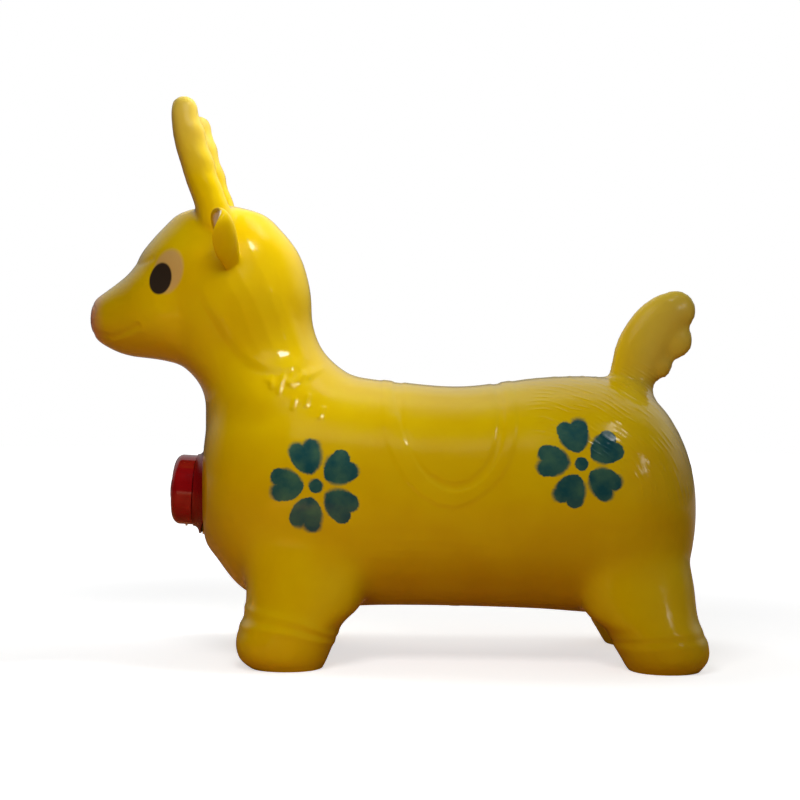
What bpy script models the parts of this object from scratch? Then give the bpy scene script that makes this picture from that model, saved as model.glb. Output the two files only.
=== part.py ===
"""Inflatable goat to sit and bounce on, with a music and light module plugged into its chest.

Metres, +Z up. The head points to -X, the soles stand on z = 0, and the origin is the middle of the footprint.
"""

import math

import bmesh
import bpy
from mathutils import Matrix, Vector
from mathutils.bvhtree import BVHTree

# Fits between pieces
GAP = 0.0003
RUN = 0.0004
OVER = 0.001

# How finely the forms are cut
SPAN_STEPS = 5
RING_POINTS = 28
BODY_VOXEL = 0.0045
SKIN_VOXEL = 0.0032
CAVITY_VOXEL = 0.0048
SKIN_TRIANGLES = 3300
CAVITY_TRIANGLES = 1500
EAR_ROUND = 14
EAR_STEPS = 2
LARGE_ROUND = 28
MEDIUM_ROUND = 16
SMALL_ROUND = 10
TIP = 0.0005

# Skin
SKIN_WALL = 0.0035
SOLE_WALL = 0.004
BELOW_SOLE = -0.012

# Trunk from chest to rump: x, belly height, back height, half width
CHEST_X = -0.1785
CHEST_Z = 0.1525
RUMP_X = 0.2855
TRUNK = (
    (CHEST_X, CHEST_Z, CHEST_Z, TIP),
    (-0.177, 0.107, 0.205, 0.0475),
    (-0.165, 0.089, 0.243, 0.070),
    (-0.137, 0.058, 0.259, 0.090),
    (-0.089, 0.043, 0.269, 0.104),
    (-0.013, 0.046, 0.259, 0.105),
    (0.064, 0.046, 0.253, 0.105),
    (0.140, 0.044, 0.263, 0.111),
    (0.206, 0.040, 0.263, 0.113),
    (0.244, 0.043, 0.246, 0.102),
    (0.268, 0.065, 0.212, 0.079),
    (0.280, 0.102, 0.178, 0.043),
    (RUMP_X, 0.142, 0.142, TIP),
)

# Head and neck from the crown down into the chest: z, front x, back x, half width
NECK = (
    (0.4255, -0.1640, -0.1640, TIP),
    (0.4150, -0.2030, -0.1250, 0.038),
    (0.4040, -0.2160, -0.1115, 0.047),
    (0.3860, -0.2325, -0.0955, 0.056),
    (0.3670, -0.2440, -0.0855, 0.061),
    (0.3380, -0.2370, -0.0785, 0.063),
    (0.3140, -0.2300, -0.0775, 0.060),
    (0.2910, -0.2175, -0.0700, 0.057),
    (0.2750, -0.2050, -0.0570, 0.059),
    (0.2580, -0.1870, -0.0340, 0.067),
    (0.2390, -0.1780, -0.0120, 0.079),
    (0.2110, -0.1770, 0.0000, 0.088),
    (0.1800, -0.1650, 0.0000, 0.085),
)

# Muzzle from the nose back into the head: x, chin height, top height, half width
MUZZLE = (
    (-0.2895, 0.3140, 0.3140, TIP),
    (-0.2840, 0.2960, 0.3330, 0.021),
    (-0.2755, 0.2895, 0.3385, 0.029),
    (-0.2655, 0.2840, 0.3460, 0.035),
    (-0.2530, 0.2795, 0.3555, 0.041),
    (-0.2420, 0.2780, 0.3665, 0.047),
    (-0.2230, 0.2760, 0.3800, 0.054),
    (-0.2040, 0.2720, 0.3850, 0.056),
)

# Legs from the sole up into the trunk: z, front x, back x, inner y, outer y
HOOF_OUTER = 0.1190
FRONT_LEG = (
    (BELOW_SOLE, -0.1080, -0.0680, 0.0620, 0.0960),
    (0.0000, -0.1270, -0.0600, 0.0440, 0.1110),
    (0.0090, -0.1380, -0.0560, 0.0400, 0.1180),
    (0.0260, -0.1400, -0.0490, 0.0370, HOOF_OUTER),
    (0.0400, -0.1350, -0.0430, 0.0340, 0.1170),
    (0.0540, -0.1320, -0.0270, 0.0260, 0.1140),
    (0.0800, -0.1340, -0.0200, 0.0150, 0.1060),
    (0.1200, -0.1500, -0.0200, 0.0120, 0.0950),
)
REAR_LEG = (
    (BELOW_SOLE, 0.2240, 0.2660, 0.0620, 0.0960),
    (0.0000, 0.2120, 0.2780, 0.0440, 0.1110),
    (0.0110, 0.2060, 0.2860, 0.0400, 0.1180),
    (0.0220, 0.1990, 0.2860, 0.0370, HOOF_OUTER),
    (0.0360, 0.1930, 0.2800, 0.0350, 0.1170),
    (0.0480, 0.1760, 0.2760, 0.0290, 0.1140),
    (0.0800, 0.1640, 0.2740, 0.0180, 0.1060),
    (0.1200, 0.1600, 0.2650, 0.0120, 0.0950),
)

# Horn from the crown to the tip: x, y, z, radius
HORN_TIP_Z = 0.5190
HORN = (
    (-0.1640, 0.0400, 0.3980, 0.0170),
    (-0.1690, 0.0415, 0.4180, 0.0160),
    (-0.1770, 0.0430, 0.4370, 0.0150),
    (-0.1830, 0.0440, 0.4550, 0.0148),
    (-0.1890, 0.0460, 0.4730, 0.0145),
    (-0.1930, 0.0480, 0.4910, 0.0122),
    (-0.1955, 0.0490, 0.5010, 0.0108),
    (-0.1970, 0.0500, 0.5120, 0.0082),
    (-0.1975, 0.0505, HORN_TIP_Z, TIP),
)

# Ear from its root to its tip: x, y, z, half width, half thickness
EAR = (
    (-0.1450, 0.0450, 0.3530, 0.0090, 0.0060),
    (-0.1430, 0.0600, 0.3660, 0.0120, 0.0036),
    (-0.1420, 0.0735, 0.3800, 0.0145, 0.0030),
    (-0.1450, 0.0840, 0.3935, 0.0130, 0.0028),
    (-0.1500, 0.0905, 0.4030, 0.0090, 0.0025),
    (-0.1545, 0.0940, 0.4090, TIP, TIP),
)
EAR_ACROSS = Vector((0.35, 0.66, -0.66))
EAR_CUP = 0.0115

# Tail plume from the rump to its tip: x, z, half width, half thickness; and the lobes along its rear edge
TAIL = (
    (0.2220, 0.2350, 0.0190, 0.0150),
    (0.2260, 0.2620, 0.0215, 0.0145),
    (0.2340, 0.2870, 0.0245, 0.0140),
    (0.2460, 0.3080, 0.0245, 0.0130),
    (0.2590, 0.3230, 0.0215, 0.0120),
    (0.2700, 0.3310, 0.0150, 0.0095),
    (0.2800, 0.3370, TIP, TIP),
)
TAIL_LOBES = (
    (0.2670, 0.3270, 0.0200, 0.0095),
    (0.2655, 0.2990, 0.0185, 0.0090),
    (0.2475, 0.2770, 0.0175, 0.0100),
)

# Air valve in the belly
VALVE_X = 0.060
VALVE_SINK = 0.0035
VALVE_BORE = 0.0050
VALVE_TUBE_WALL = 0.0012
VALVE_TUBE_LENGTH = 0.014
VALVE_FLANGE = 0.0045
VALVE_FLANGE_THICK = 0.0015
PLUG_HEAD_RADIUS = 0.0080
PLUG_HEAD_THICK = 0.0020
PLUG_LENGTH = 0.011
PLUG_RIBS = 3
PLUG_RIB_DEPTH = 0.0004

# Module seat in the chest: u is the distance out from it
SEAT_SINK = 0.0010
MODULE_TILT = math.radians(3.0)
SEAL_THICK = 0.0012
SEAL_WIDTH = 0.0072

# Cells and battery box
CELL_RADIUS = 0.00525
CELL_LENGTH = 0.0445
CELL_NUB_RADIUS = 0.0019
CELL_NUB_LENGTH = 0.0008
CELL_PLAY = 0.0004
CONTACT_ROOM = 0.0020
CONTACT_THICK = 0.0004
CONTACT_WIDTH = 0.0080
CONTACT_HEIGHT = 0.0090
BOX_OFFSET = -0.0012
BOX_WALL = 0.0014
PARTITION = 0.0015
DOOR_THICK = 0.0020
DOOR_LEDGE = 0.0013
DOOR_SCREW_INSET = 0.0036
DOOR_TAB_RADIUS = 0.0034
DOOR_HEAD_RADIUS = 0.0019
DOOR_HEAD_THICK = 0.0008
DOOR_SINK = 0.0011
DOOR_SCREW_LENGTH = 0.0075

# Housing
HOUSING_WALL = 0.0026
FLANGE_STEP = 0.0098
FLANGE_RIM = 0.0016
NECK_HEIGHT = 0.0056
SPIGOT_HEIGHT = 0.0020
CHAMFER = 0.0010
RIM_STEP = 0.0013
FLARE_STEPS = 4

# Loudspeaker
SPEAKER_RADIUS = 0.0200
SPEAKER_LIP = 0.0018
SPEAKER_SEAT = 0.0016
SPEAKER_RIM_THICK = 0.0012
BASKET_DEPTH = 0.0047
BASKET_WALL = 0.0010
MAGNET_RADIUS = 0.0090
MAGNET_THICK = 0.0039
CONE_THICK = 0.0005
DUST_CAP_RADIUS = 0.0055
DUST_CAP_HEIGHT = 0.0014
CONE_DEPTH = 0.0030
SURROUND_WIDTH = 0.0028

# Circuit board and what is on it
BOARD_THICK = 0.0016
BOARD_HALF_WIDTH = 0.0128
BOARD_CLEAR = 0.0041
BOARD_EDGE = 0.0006
BOARD_POST_RADIUS = 0.0030
BOARD_POST_INSET = 0.0044
SWITCH_SIDE = 0.0060
SWITCH_THICK = 0.0030
SWITCH_PLUNGER_RADIUS = 0.0016
SWITCH_PLUNGER_HEIGHT = 0.0006
CHIP_RADIUS = 0.0042
CHIP_HEIGHT = 0.0012
CHIP_PLACE = (0.0080, 0.0075)
TILT_TUBE_RADIUS = 0.0021
TILT_TUBE_LENGTH = 0.0110
TILT_TUBE_X = -0.0098
LED_RADIUS = 0.0025
LED_HEIGHT = 0.0060
LED_COLLAR = 0.0004
LED_COLLAR_HEIGHT = 0.0010
LED_PLACES = ((0.0070, 0.0170), (0.0070, -0.0170), (-0.0070, 0.0170), (-0.0070, -0.0170))

# Screws
SCREW_RADIUS = 0.0010
SCREW_CLEAR = 0.0004
SCREW_HEAD_RADIUS = 0.0021
SCREW_HEAD_THICK = 0.0016
COVER_SCREW_LENGTH = 0.0110
BOARD_SCREW_LENGTH = 0.0080
SCREW_POST_WALL = 0.0010
COVER_SCREW_PLACES = ((0.0162, 0.0184), (0.0162, -0.0184), (-0.0162, 0.0184), (-0.0162, -0.0184))
BOSS_WALL = 0.0014
SCREW_GRIP = 0.0060

# Cover
COVER_WALL = 0.0020
COVER_DEPTH = 0.0217
COVER_FILLET = 0.0070
SLOT_COUNT = 12
SLOT_INNER = 0.0150
SLOT_OUTER = 0.0212
SLOT_WIDTH = 0.0018

# Play button
BUTTON_RADIUS = 0.0110
BUTTON_PROUD = 0.0012
BUTTON_FLANGE = 0.0018
BUTTON_FLANGE_THICK = 0.0016
BUTTON_SKIN = 0.0020
BUTTON_STEM_RADIUS = 0.0024
BUTTON_TRAVEL = 0.0020
BUTTON_EDGE = 0.0008
BUTTON_SPRING_RADIUS = 0.0054
BUTTON_SPRING_WIRE = 0.0003
BUTTON_SPRING_TURNS = 6
BUTTON_SPRING_SIDES = 5
BUTTON_WALL = 0.0016

# Power switch under the cover
POWER_U = 0.0160
POWER_BODY = (0.0042, 0.0100, 0.0058)
POWER_CHANNEL_DEPTH = 0.0020
POWER_FOOT = (0.0014, 0.0040, 0.0034)
POWER_KNOB = (0.0026, 0.0018)
POWER_PROUD = 0.0013
POWER_TRAVEL = 0.0040
POWER_CRADLE = 0.0012

# Worked out from the sizes above
BOX_HALF_WIDTH = 2 * CELL_RADIUS + 1.5 * CELL_PLAY
BOX_LENGTH = CELL_LENGTH + 2 * CONTACT_ROOM
BOX_START = BOX_OFFSET - BOX_LENGTH / 2
BOX_END = BOX_OFFSET + BOX_LENGTH / 2
DOOR_HALF_WIDTH = BOX_HALF_WIDTH + DOOR_LEDGE
HOUSING_RADIUS = math.hypot(BOX_START - DOOR_LEDGE, DOOR_HALF_WIDTH) + BOX_WALL
BAY_RADIUS = HOUSING_RADIUS - HOUSING_WALL
COVER_RADIUS = HOUSING_RADIUS + COVER_WALL
FLANGE_RADIUS = HOUSING_RADIUS + FLANGE_STEP
VALVE_FLANGE_RADIUS = VALVE_BORE + VALVE_FLANGE
VALVE_RECESS_RADIUS = VALVE_FLANGE_RADIUS + 2 * RUN
FLANGE_BACK = GAP + SEAL_THICK + GAP
FLANGE_FRONT = FLANGE_BACK + FLANGE_RIM
RIM_U = FLANGE_FRONT + NECK_HEIGHT
SPEAKER_RIM_U = 0.0002
SPEAKER_LEDGE_U = SPEAKER_RIM_U - GAP
MAGNET_TOP_U = SPEAKER_RIM_U - BASKET_DEPTH - GAP
BAY_FLOOR_U = MAGNET_TOP_U - MAGNET_THICK - GAP
BOX_CEILING_U = BAY_FLOOR_U - PARTITION
CELL_U = BOX_CEILING_U - CELL_PLAY - CELL_RADIUS
DOOR_FACE_U = CELL_U - CELL_RADIUS - CELL_PLAY
HOUSING_BACK_U = DOOR_FACE_U - DOOR_THICK
POCKET_RADIUS = HOUSING_RADIUS + RUN
POCKET_FLOOR_U = HOUSING_BACK_U - RUN
BOARD_BOTTOM_U = SPEAKER_RIM_U + SPEAKER_RIM_THICK + BOARD_CLEAR
BOARD_TOP_U = BOARD_BOTTOM_U + BOARD_THICK
ON_BOARD_U = BOARD_TOP_U + GAP
BOARD_SCREW_PLACES = ((0.0, BOARD_POST_INSET - BAY_RADIUS), (0.0, BAY_RADIUS - BOARD_POST_INSET))
COVER_FOOT_U = RIM_U + GAP
COVER_TOP_U = COVER_FOOT_U + COVER_DEPTH
COVER_INSIDE_U = COVER_TOP_U - COVER_WALL
SWITCH_TOP_U = ON_BOARD_U + SWITCH_THICK + SWITCH_PLUNGER_HEIGHT
SCREW_HOLE = SCREW_RADIUS + SCREW_CLEAR
SCREW_WELL = SCREW_HEAD_RADIUS + SCREW_CLEAR
SCREW_POST_RADIUS = SCREW_WELL + SCREW_POST_WALL
BOSS_RADIUS = SCREW_HOLE + BOSS_WALL
POST_TOP_U = BOARD_BOTTOM_U - BOARD_THICK
SCREW_SEAT_U = POST_TOP_U - SCREW_GRIP
DOOR_SCREW_Y = BOX_END + DOOR_SCREW_INSET
CELL_X = CELL_RADIUS + CELL_PLAY / 2
BUTTON_FLANGE_TOP_U = COVER_INSIDE_U - GAP
BUTTON_FLANGE_BACK_U = BUTTON_FLANGE_TOP_U - BUTTON_FLANGE_THICK
BUTTON_CEILING_U = COVER_TOP_U + BUTTON_PROUD - BUTTON_SKIN
STEM_END_U = SWITCH_TOP_U + BUTTON_TRAVEL + GAP
POWER_FACE_X = math.sqrt(HOUSING_RADIUS ** 2 - POWER_BODY[1] ** 2 / 4) - 2 * GAP
SEAT = Vector((CHEST_X + SEAT_SINK, 0.0, CHEST_Z))
MODULE_FRAME = Matrix.Translation(SEAT) @ Matrix.Rotation(MODULE_TILT - math.pi / 2, 4, "Y")


def clear_scene():
    for obj in list(bpy.data.objects):
        bpy.data.objects.remove(obj)


def linear(channel):
    return channel / 12.92 if channel <= 0.04045 else ((channel + 0.055) / 1.055) ** 2.4


def material(name, colour, roughness, metallic=0.0, alpha=1.0):
    """A Principled material from an sRGB hex colour."""
    made = bpy.data.materials.new(name)
    made.use_nodes = True
    shader = made.node_tree.nodes["Principled BSDF"]
    channels = [int(colour[i:i + 2], 16) / 255 for i in (1, 3, 5)]
    shader.inputs["Base Color"].default_value = (*map(linear, channels), 1.0)
    shader.inputs["Roughness"].default_value = roughness
    shader.inputs["Metallic"].default_value = metallic
    shader.inputs["Alpha"].default_value = alpha
    return made


def settled(obj):
    """The mesh that an object's modifiers give."""
    graph = bpy.context.evaluated_depsgraph_get()
    return bpy.data.meshes.new_from_object(obj.evaluated_get(graph))


def helper(form):
    """A hidden object that holds a form for one modelling step."""
    mesh = bpy.data.meshes.new("helper")
    form.to_mesh(mesh)
    form.free()
    obj = bpy.data.objects.new("helper", mesh)
    obj.hide_render = True
    obj.display_type = "WIRE"
    bpy.context.scene.collection.objects.link(obj)
    return obj


def spent(obj):
    """The helper's finished form as a bmesh, with the helper removed."""
    form = bmesh.new()
    form.from_mesh(settled(obj))
    bpy.data.objects.remove(obj)
    return form


def combined(form, tool, operation):
    """One form cut by, or joined with, another."""
    first = helper(form)
    second = helper(tool)
    boolean = first.modifiers.new("form", "BOOLEAN")
    boolean.operation = operation
    boolean.object = second
    result = spent(first)
    bpy.data.objects.remove(second)
    return result


def cut(form, *tools):
    for tool in tools:
        form = combined(form, tool, "DIFFERENCE")
    return form


def joined(form, *tools):
    for tool in tools:
        form = combined(form, tool, "UNION")
    return form


def placed(form, matrix):
    bmesh.ops.transform(form, matrix=matrix, verts=form.verts)
    return form


def tidy(form):
    bmesh.ops.remove_doubles(form, verts=form.verts, dist=1e-6)
    bmesh.ops.dissolve_degenerate(form, edges=form.edges, dist=1e-6)
    bmesh.ops.recalc_face_normals(form, faces=form.faces)
    return form


def together(*forms):
    """Forms held side by side in one bmesh."""
    whole = bmesh.new()
    for form in forms:
        mesh = bpy.data.meshes.new("side")
        form.to_mesh(mesh)
        form.free()
        whole.from_mesh(mesh)
        bpy.data.meshes.remove(mesh)
    return whole


def turned(profile, steps):
    """A closed form turned about Z from (radius, height) points, first to last and back to the first."""
    form = bmesh.new()
    verts = [form.verts.new((radius, 0.0, height)) for radius, height in profile]
    edges = [form.edges.new(pair) for pair in zip(verts, verts[1:] + verts[:1])]
    bmesh.ops.spin(form, geom=verts + edges, cent=(0, 0, 0), axis=(0, 0, 1), angle=math.tau,
                   steps=steps, use_merge=True, use_duplicate=False)
    return tidy(form)


def rod(radius, low, high, at=(0.0, 0.0), steps=SMALL_ROUND):
    """A cylinder along Z."""
    form = bmesh.new()
    centre = Matrix.Translation((at[0], at[1], (low + high) / 2))
    bmesh.ops.create_cone(form, cap_ends=True, segments=steps, radius1=radius, radius2=radius,
                          depth=high - low, matrix=centre)
    return form


def block(low, high):
    """A box between two corners."""
    form = bmesh.new()
    low, high = Vector(low), Vector(high)
    size = Matrix.Diagonal((*(high - low), 1.0))
    bmesh.ops.create_cube(form, size=1.0, matrix=Matrix.Translation((low + high) / 2) @ size)
    return form


def plate(outline, low, high):
    """An outline in X and Y drawn up from one height to another."""
    form = bmesh.new()
    face = form.faces.new([form.verts.new((x, y, low)) for x, y in outline])
    raised = bmesh.ops.extrude_face_region(form, geom=[face])["geom"]
    top = [item for item in raised if isinstance(item, bmesh.types.BMVert)]
    bmesh.ops.translate(form, vec=(0, 0, high - low), verts=top)
    return tidy(form)


def arc(centre, radius, start, end, steps):
    """Points along an arc, angles in degrees."""
    angles = [math.radians(start + (end - start) * i / steps) for i in range(steps + 1)]
    return [(centre[0] + radius * math.cos(a), centre[1] + radius * math.sin(a)) for a in angles]


def eased(stations, steps=SPAN_STEPS):
    """Stations with a smooth curve between them; a station at a tip turns the curve round."""
    def beyond(tip, near):
        return [2 * t - n for t, n in zip(tip, near)]

    rows = [beyond(stations[0], stations[1]), *stations, beyond(stations[-1], stations[-2])]
    result = []
    for a, b, c, d in zip(rows, rows[1:], rows[2:], rows[3:]):
        for step in range(steps):
            t = step / steps
            result.append([
                q + 0.5 * t * (r - p + t * (2 * p - 5 * q + 4 * r - s + t * (3 * (q - r) + s - p)))
                for p, q, r, s in zip(a, b, c, d)
            ])
    result.append(list(stations[-1]))
    return result


def loft(rings, fullness=2.2, points=RING_POINTS):
    """A closed form through rings, each a centre and its two half-axis vectors."""
    form = bmesh.new()
    loops = []
    for centre, across, up in rings:
        made = bmesh.ops.create_circle(form, cap_ends=False, segments=points, radius=1.0)["verts"]
        for vert in made:
            a, b = (math.copysign(abs(v) ** (2 / fullness), v) for v in vert.co.xy)
            vert.co = centre + across * a + up * b
        loops.append(list({edge for vert in made for edge in vert.link_edges}))
    for first, second in zip(loops, loops[1:]):
        bmesh.ops.bridge_loops(form, edges=first + second)
    bmesh.ops.holes_fill(form, edges=[edge for edge in form.edges if edge.is_boundary], sides=0)
    return tidy(form)


def trunk_rings():
    for x, low, high, half in eased(TRUNK):
        half_height = max((high - low) / 2, TIP)
        yield Vector((x, 0, (low + high) / 2)), Vector((0, max(half, TIP), 0)), Vector((0, 0, half_height))


def neck_rings():
    for z, front, back, half in eased(NECK):
        half_length = max((back - front) / 2, TIP)
        yield Vector(((front + back) / 2, 0, z)), Vector((half_length, 0, 0)), Vector((0, max(half, TIP), 0))


def muzzle_rings():
    for x, low, high, half in eased(MUZZLE):
        half_height = max((high - low) / 2, TIP)
        yield Vector((x, 0, (low + high) / 2)), Vector((0, max(half, TIP), 0)), Vector((0, 0, half_height))


def leg_rings(stations, side):
    for z, front, back, inner, outer in eased(stations):
        centre = Vector(((front + back) / 2, side * (inner + outer) / 2, z))
        yield centre, Vector(((back - front) / 2, 0, 0)), Vector((0, (outer - inner) / 2, 0))


def horn_rings(side):
    for x, y, z, radius in eased(HORN):
        radius = max(radius, TIP)
        yield Vector((x, side * y, z)), Vector((radius, 0, 0)), Vector((0, radius, 0))


def tail_rings():
    rows = eased(TAIL)
    for before, row, after in zip(rows[:1] + rows, rows, rows[1:] + rows[-1:]):
        x, z, half, thick = row
        along = Vector((after[0] - before[0], 0, after[1] - before[1])).normalized()
        across = along.cross(Vector((0, 1, 0)))
        yield Vector((x, 0, z)), across * max(half, TIP), Vector((0, max(thick, TIP), 0))


def ear(side):
    """A leaf-shaped flap, cupped towards the front and leaning out."""
    across = EAR_ACROSS.normalized()
    facing = (Vector(EAR[-1][:3]) - Vector(EAR[0][:3])).cross(across).normalized()
    rows = eased(EAR, EAR_STEPS)
    rings = [(Vector((x, y, z)), across * max(half, TIP), facing * max(thick, TIP))
             for x, y, z, half, thick in rows]
    form = loft(rings, fullness=2.0, points=EAR_ROUND)
    spine = [Vector(row[:3]) for row in rows]
    widest = max(row[3] for row in EAR)
    for vert in form.verts:
        nearest = min(spine, key=lambda point: (vert.co - point).length)
        reach = (vert.co - nearest).dot(across) / widest
        vert.co += facing * EAR_CUP * reach * reach
    if side < 0:
        bmesh.ops.scale(form, vec=(1, -1, 1), verts=form.verts)
        bmesh.ops.reverse_faces(form, faces=form.faces)
    return form


def lobe(x, z, radius, thick):
    form = bmesh.new()
    bmesh.ops.create_uvsphere(form, u_segments=RING_POINTS, v_segments=RING_POINTS // 2, radius=1.0)
    return placed(form, Matrix.Translation((x, 0, z)) @ Matrix.Diagonal((radius, thick, radius, 1.0)))


def blended(form, voxel, passes):
    """Overlapping forms made one skin, with the joins between them eased."""
    obj = helper(form)
    remesh = obj.modifiers.new("one skin", "REMESH")
    remesh.mode = "VOXEL"
    remesh.voxel_size = voxel
    smooth = obj.modifiers.new("eased joins", "SMOOTH")
    smooth.factor = 0.5
    smooth.iterations = passes
    return spent(obj)


def lightened(form, triangles):
    """The form with fewer faces."""
    bmesh.ops.triangulate(form, faces=form.faces)
    share = triangles / len(form.faces)
    obj = helper(form)
    decimate = obj.modifiers.new("lighter", "DECIMATE")
    decimate.ratio = min(share, 1.0)
    return spent(obj)


def inset(form, distance):
    obj = helper(form)
    offset = obj.modifiers.new("inset", "DISPLACE")
    offset.direction = "NORMAL"
    offset.mid_level = 0.0
    offset.strength = -distance
    return spent(obj)


def keep_above(form, height):
    """The part of a form above a level, closed by a flat face."""
    geom = form.verts[:] + form.edges[:] + form.faces[:]
    bmesh.ops.bisect_plane(form, geom=geom, plane_co=(0, 0, height), plane_no=(0, 0, -1), clear_outer=True)
    bmesh.ops.holes_fill(form, edges=[edge for edge in form.edges if edge.is_boundary], sides=0)
    return tidy(form)


def belly_height(outside, x):
    """How high the middle of the belly lies above the ground."""
    return BVHTree.FromBMesh(outside).ray_cast(Vector((x, TIP, 0.0)), Vector((0, 0, 1)))[0].z


def moulding():
    """The outside of the moulded body and the hollow in it, before anything is fitted."""
    legs = [loft(leg_rings(stations, side)) for stations in (FRONT_LEG, REAR_LEG) for side in (-1, 1)]
    body = together(loft(trunk_rings()), loft(neck_rings()), loft(muzzle_rings()), *legs)
    body = blended(body, BODY_VOXEL, passes=12)
    horns = [loft(horn_rings(side), fullness=2.0) for side in (-1, 1)]
    horned = blended(together(body, *horns), SKIN_VOXEL, passes=5)
    hollow = blended(inset(horned.copy(), SKIN_WALL), CAVITY_VOXEL, passes=2)
    hollow = lightened(keep_above(hollow, SOLE_WALL), CAVITY_TRIANGLES)

    # The tail and the ears are solid
    lobes = [lobe(*row) for row in TAIL_LOBES]
    tail = blended(together(loft(tail_rings()), *lobes), SKIN_VOXEL, passes=3)
    outside = blended(together(horned, tail), SKIN_VOXEL, passes=3)
    outside = joined(lightened(outside, SKIN_TRIANGLES), ear(-1), ear(1))
    return keep_above(outside, 0.0), hollow


def skin_form(outside, hollow, valve_seat_z):
    """The hollow moulded skin, with its module pocket and its valve hole."""
    def in_chest(radius, low, high):
        return placed(rod(radius, low, high, steps=LARGE_ROUND), MODULE_FRAME)

    def in_belly(radius, low, high):
        return rod(radius, low, high, (VALVE_X, 0.0), MEDIUM_ROUND)

    # The socket's own wall and the valve's boss stay out of the hollow
    boss_top = valve_seat_z + SKIN_WALL
    socket = in_chest(POCKET_RADIUS + SKIN_WALL, POCKET_FLOOR_U - SKIN_WALL, 0.0)
    boss = in_belly(VALVE_RECESS_RADIUS + SKIN_WALL, 0.0, boss_top)
    hollow = cut(hollow, socket, boss)

    seat_radius = FLANGE_RADIUS + 2 * GAP
    outside = joined(outside, in_chest(seat_radius, POCKET_FLOOR_U, 0.0))
    spot_face = in_chest(seat_radius, 0.0, COVER_DEPTH)
    pocket = in_chest(POCKET_RADIUS, POCKET_FLOOR_U, OVER)
    recess = in_belly(VALVE_RECESS_RADIUS, 0.0, valve_seat_z)
    bore = in_belly(VALVE_BORE + RUN, valve_seat_z - OVER, boss_top + VALVE_TUBE_LENGTH)
    return cut(outside, spot_face, pocket, recess, hollow, bore)


def finished(name, form, finish, parent=None):
    """One named piece with its own finish."""
    mesh = bpy.data.meshes.new(name)
    form.to_mesh(mesh)
    form.free()
    mesh.materials.clear()
    mesh.materials.append(finish)
    mesh.shade_smooth()
    mesh.set_sharp_from_angle(angle=math.radians(35))
    obj = bpy.data.objects.new(name, mesh)
    obj.parent = parent
    bpy.context.scene.collection.objects.link(obj)
    return obj


def seal_form():
    inner = HOUSING_RADIUS + 2 * RUN
    outer = inner + SEAL_WIDTH
    top = GAP + SEAL_THICK
    return turned([(inner, GAP), (outer, GAP), (outer, top), (inner, top)], LARGE_ROUND)


def flare():
    """The concave sweep from the flange up to the rim that the cover stands on."""
    reach = FLANGE_RADIUS - COVER_RADIUS - RIM_STEP
    for step in range(FLARE_STEPS + 1):
        turn = math.pi / 2 * step / FLARE_STEPS
        yield FLANGE_RADIUS - reach * math.sin(turn), RIM_U - NECK_HEIGHT * math.cos(turn)


def door_outline(grow):
    """The battery door's plate with its screw tab, grown by a clearance."""
    half = DOOR_HALF_WIDTH - GAP + grow
    low = BOX_START - DOOR_LEDGE + GAP - grow
    high = BOX_END + DOOR_LEDGE - GAP + grow
    radius = DOOR_TAB_RADIUS + grow
    dip = math.degrees(math.asin((DOOR_SCREW_Y - high) / radius))
    tab = arc((0.0, DOOR_SCREW_Y), radius, -dip, 180 + dip, SMALL_ROUND)
    return [(-half, low), (half, low), (half, high), *tab, (-half, high)]


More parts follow.
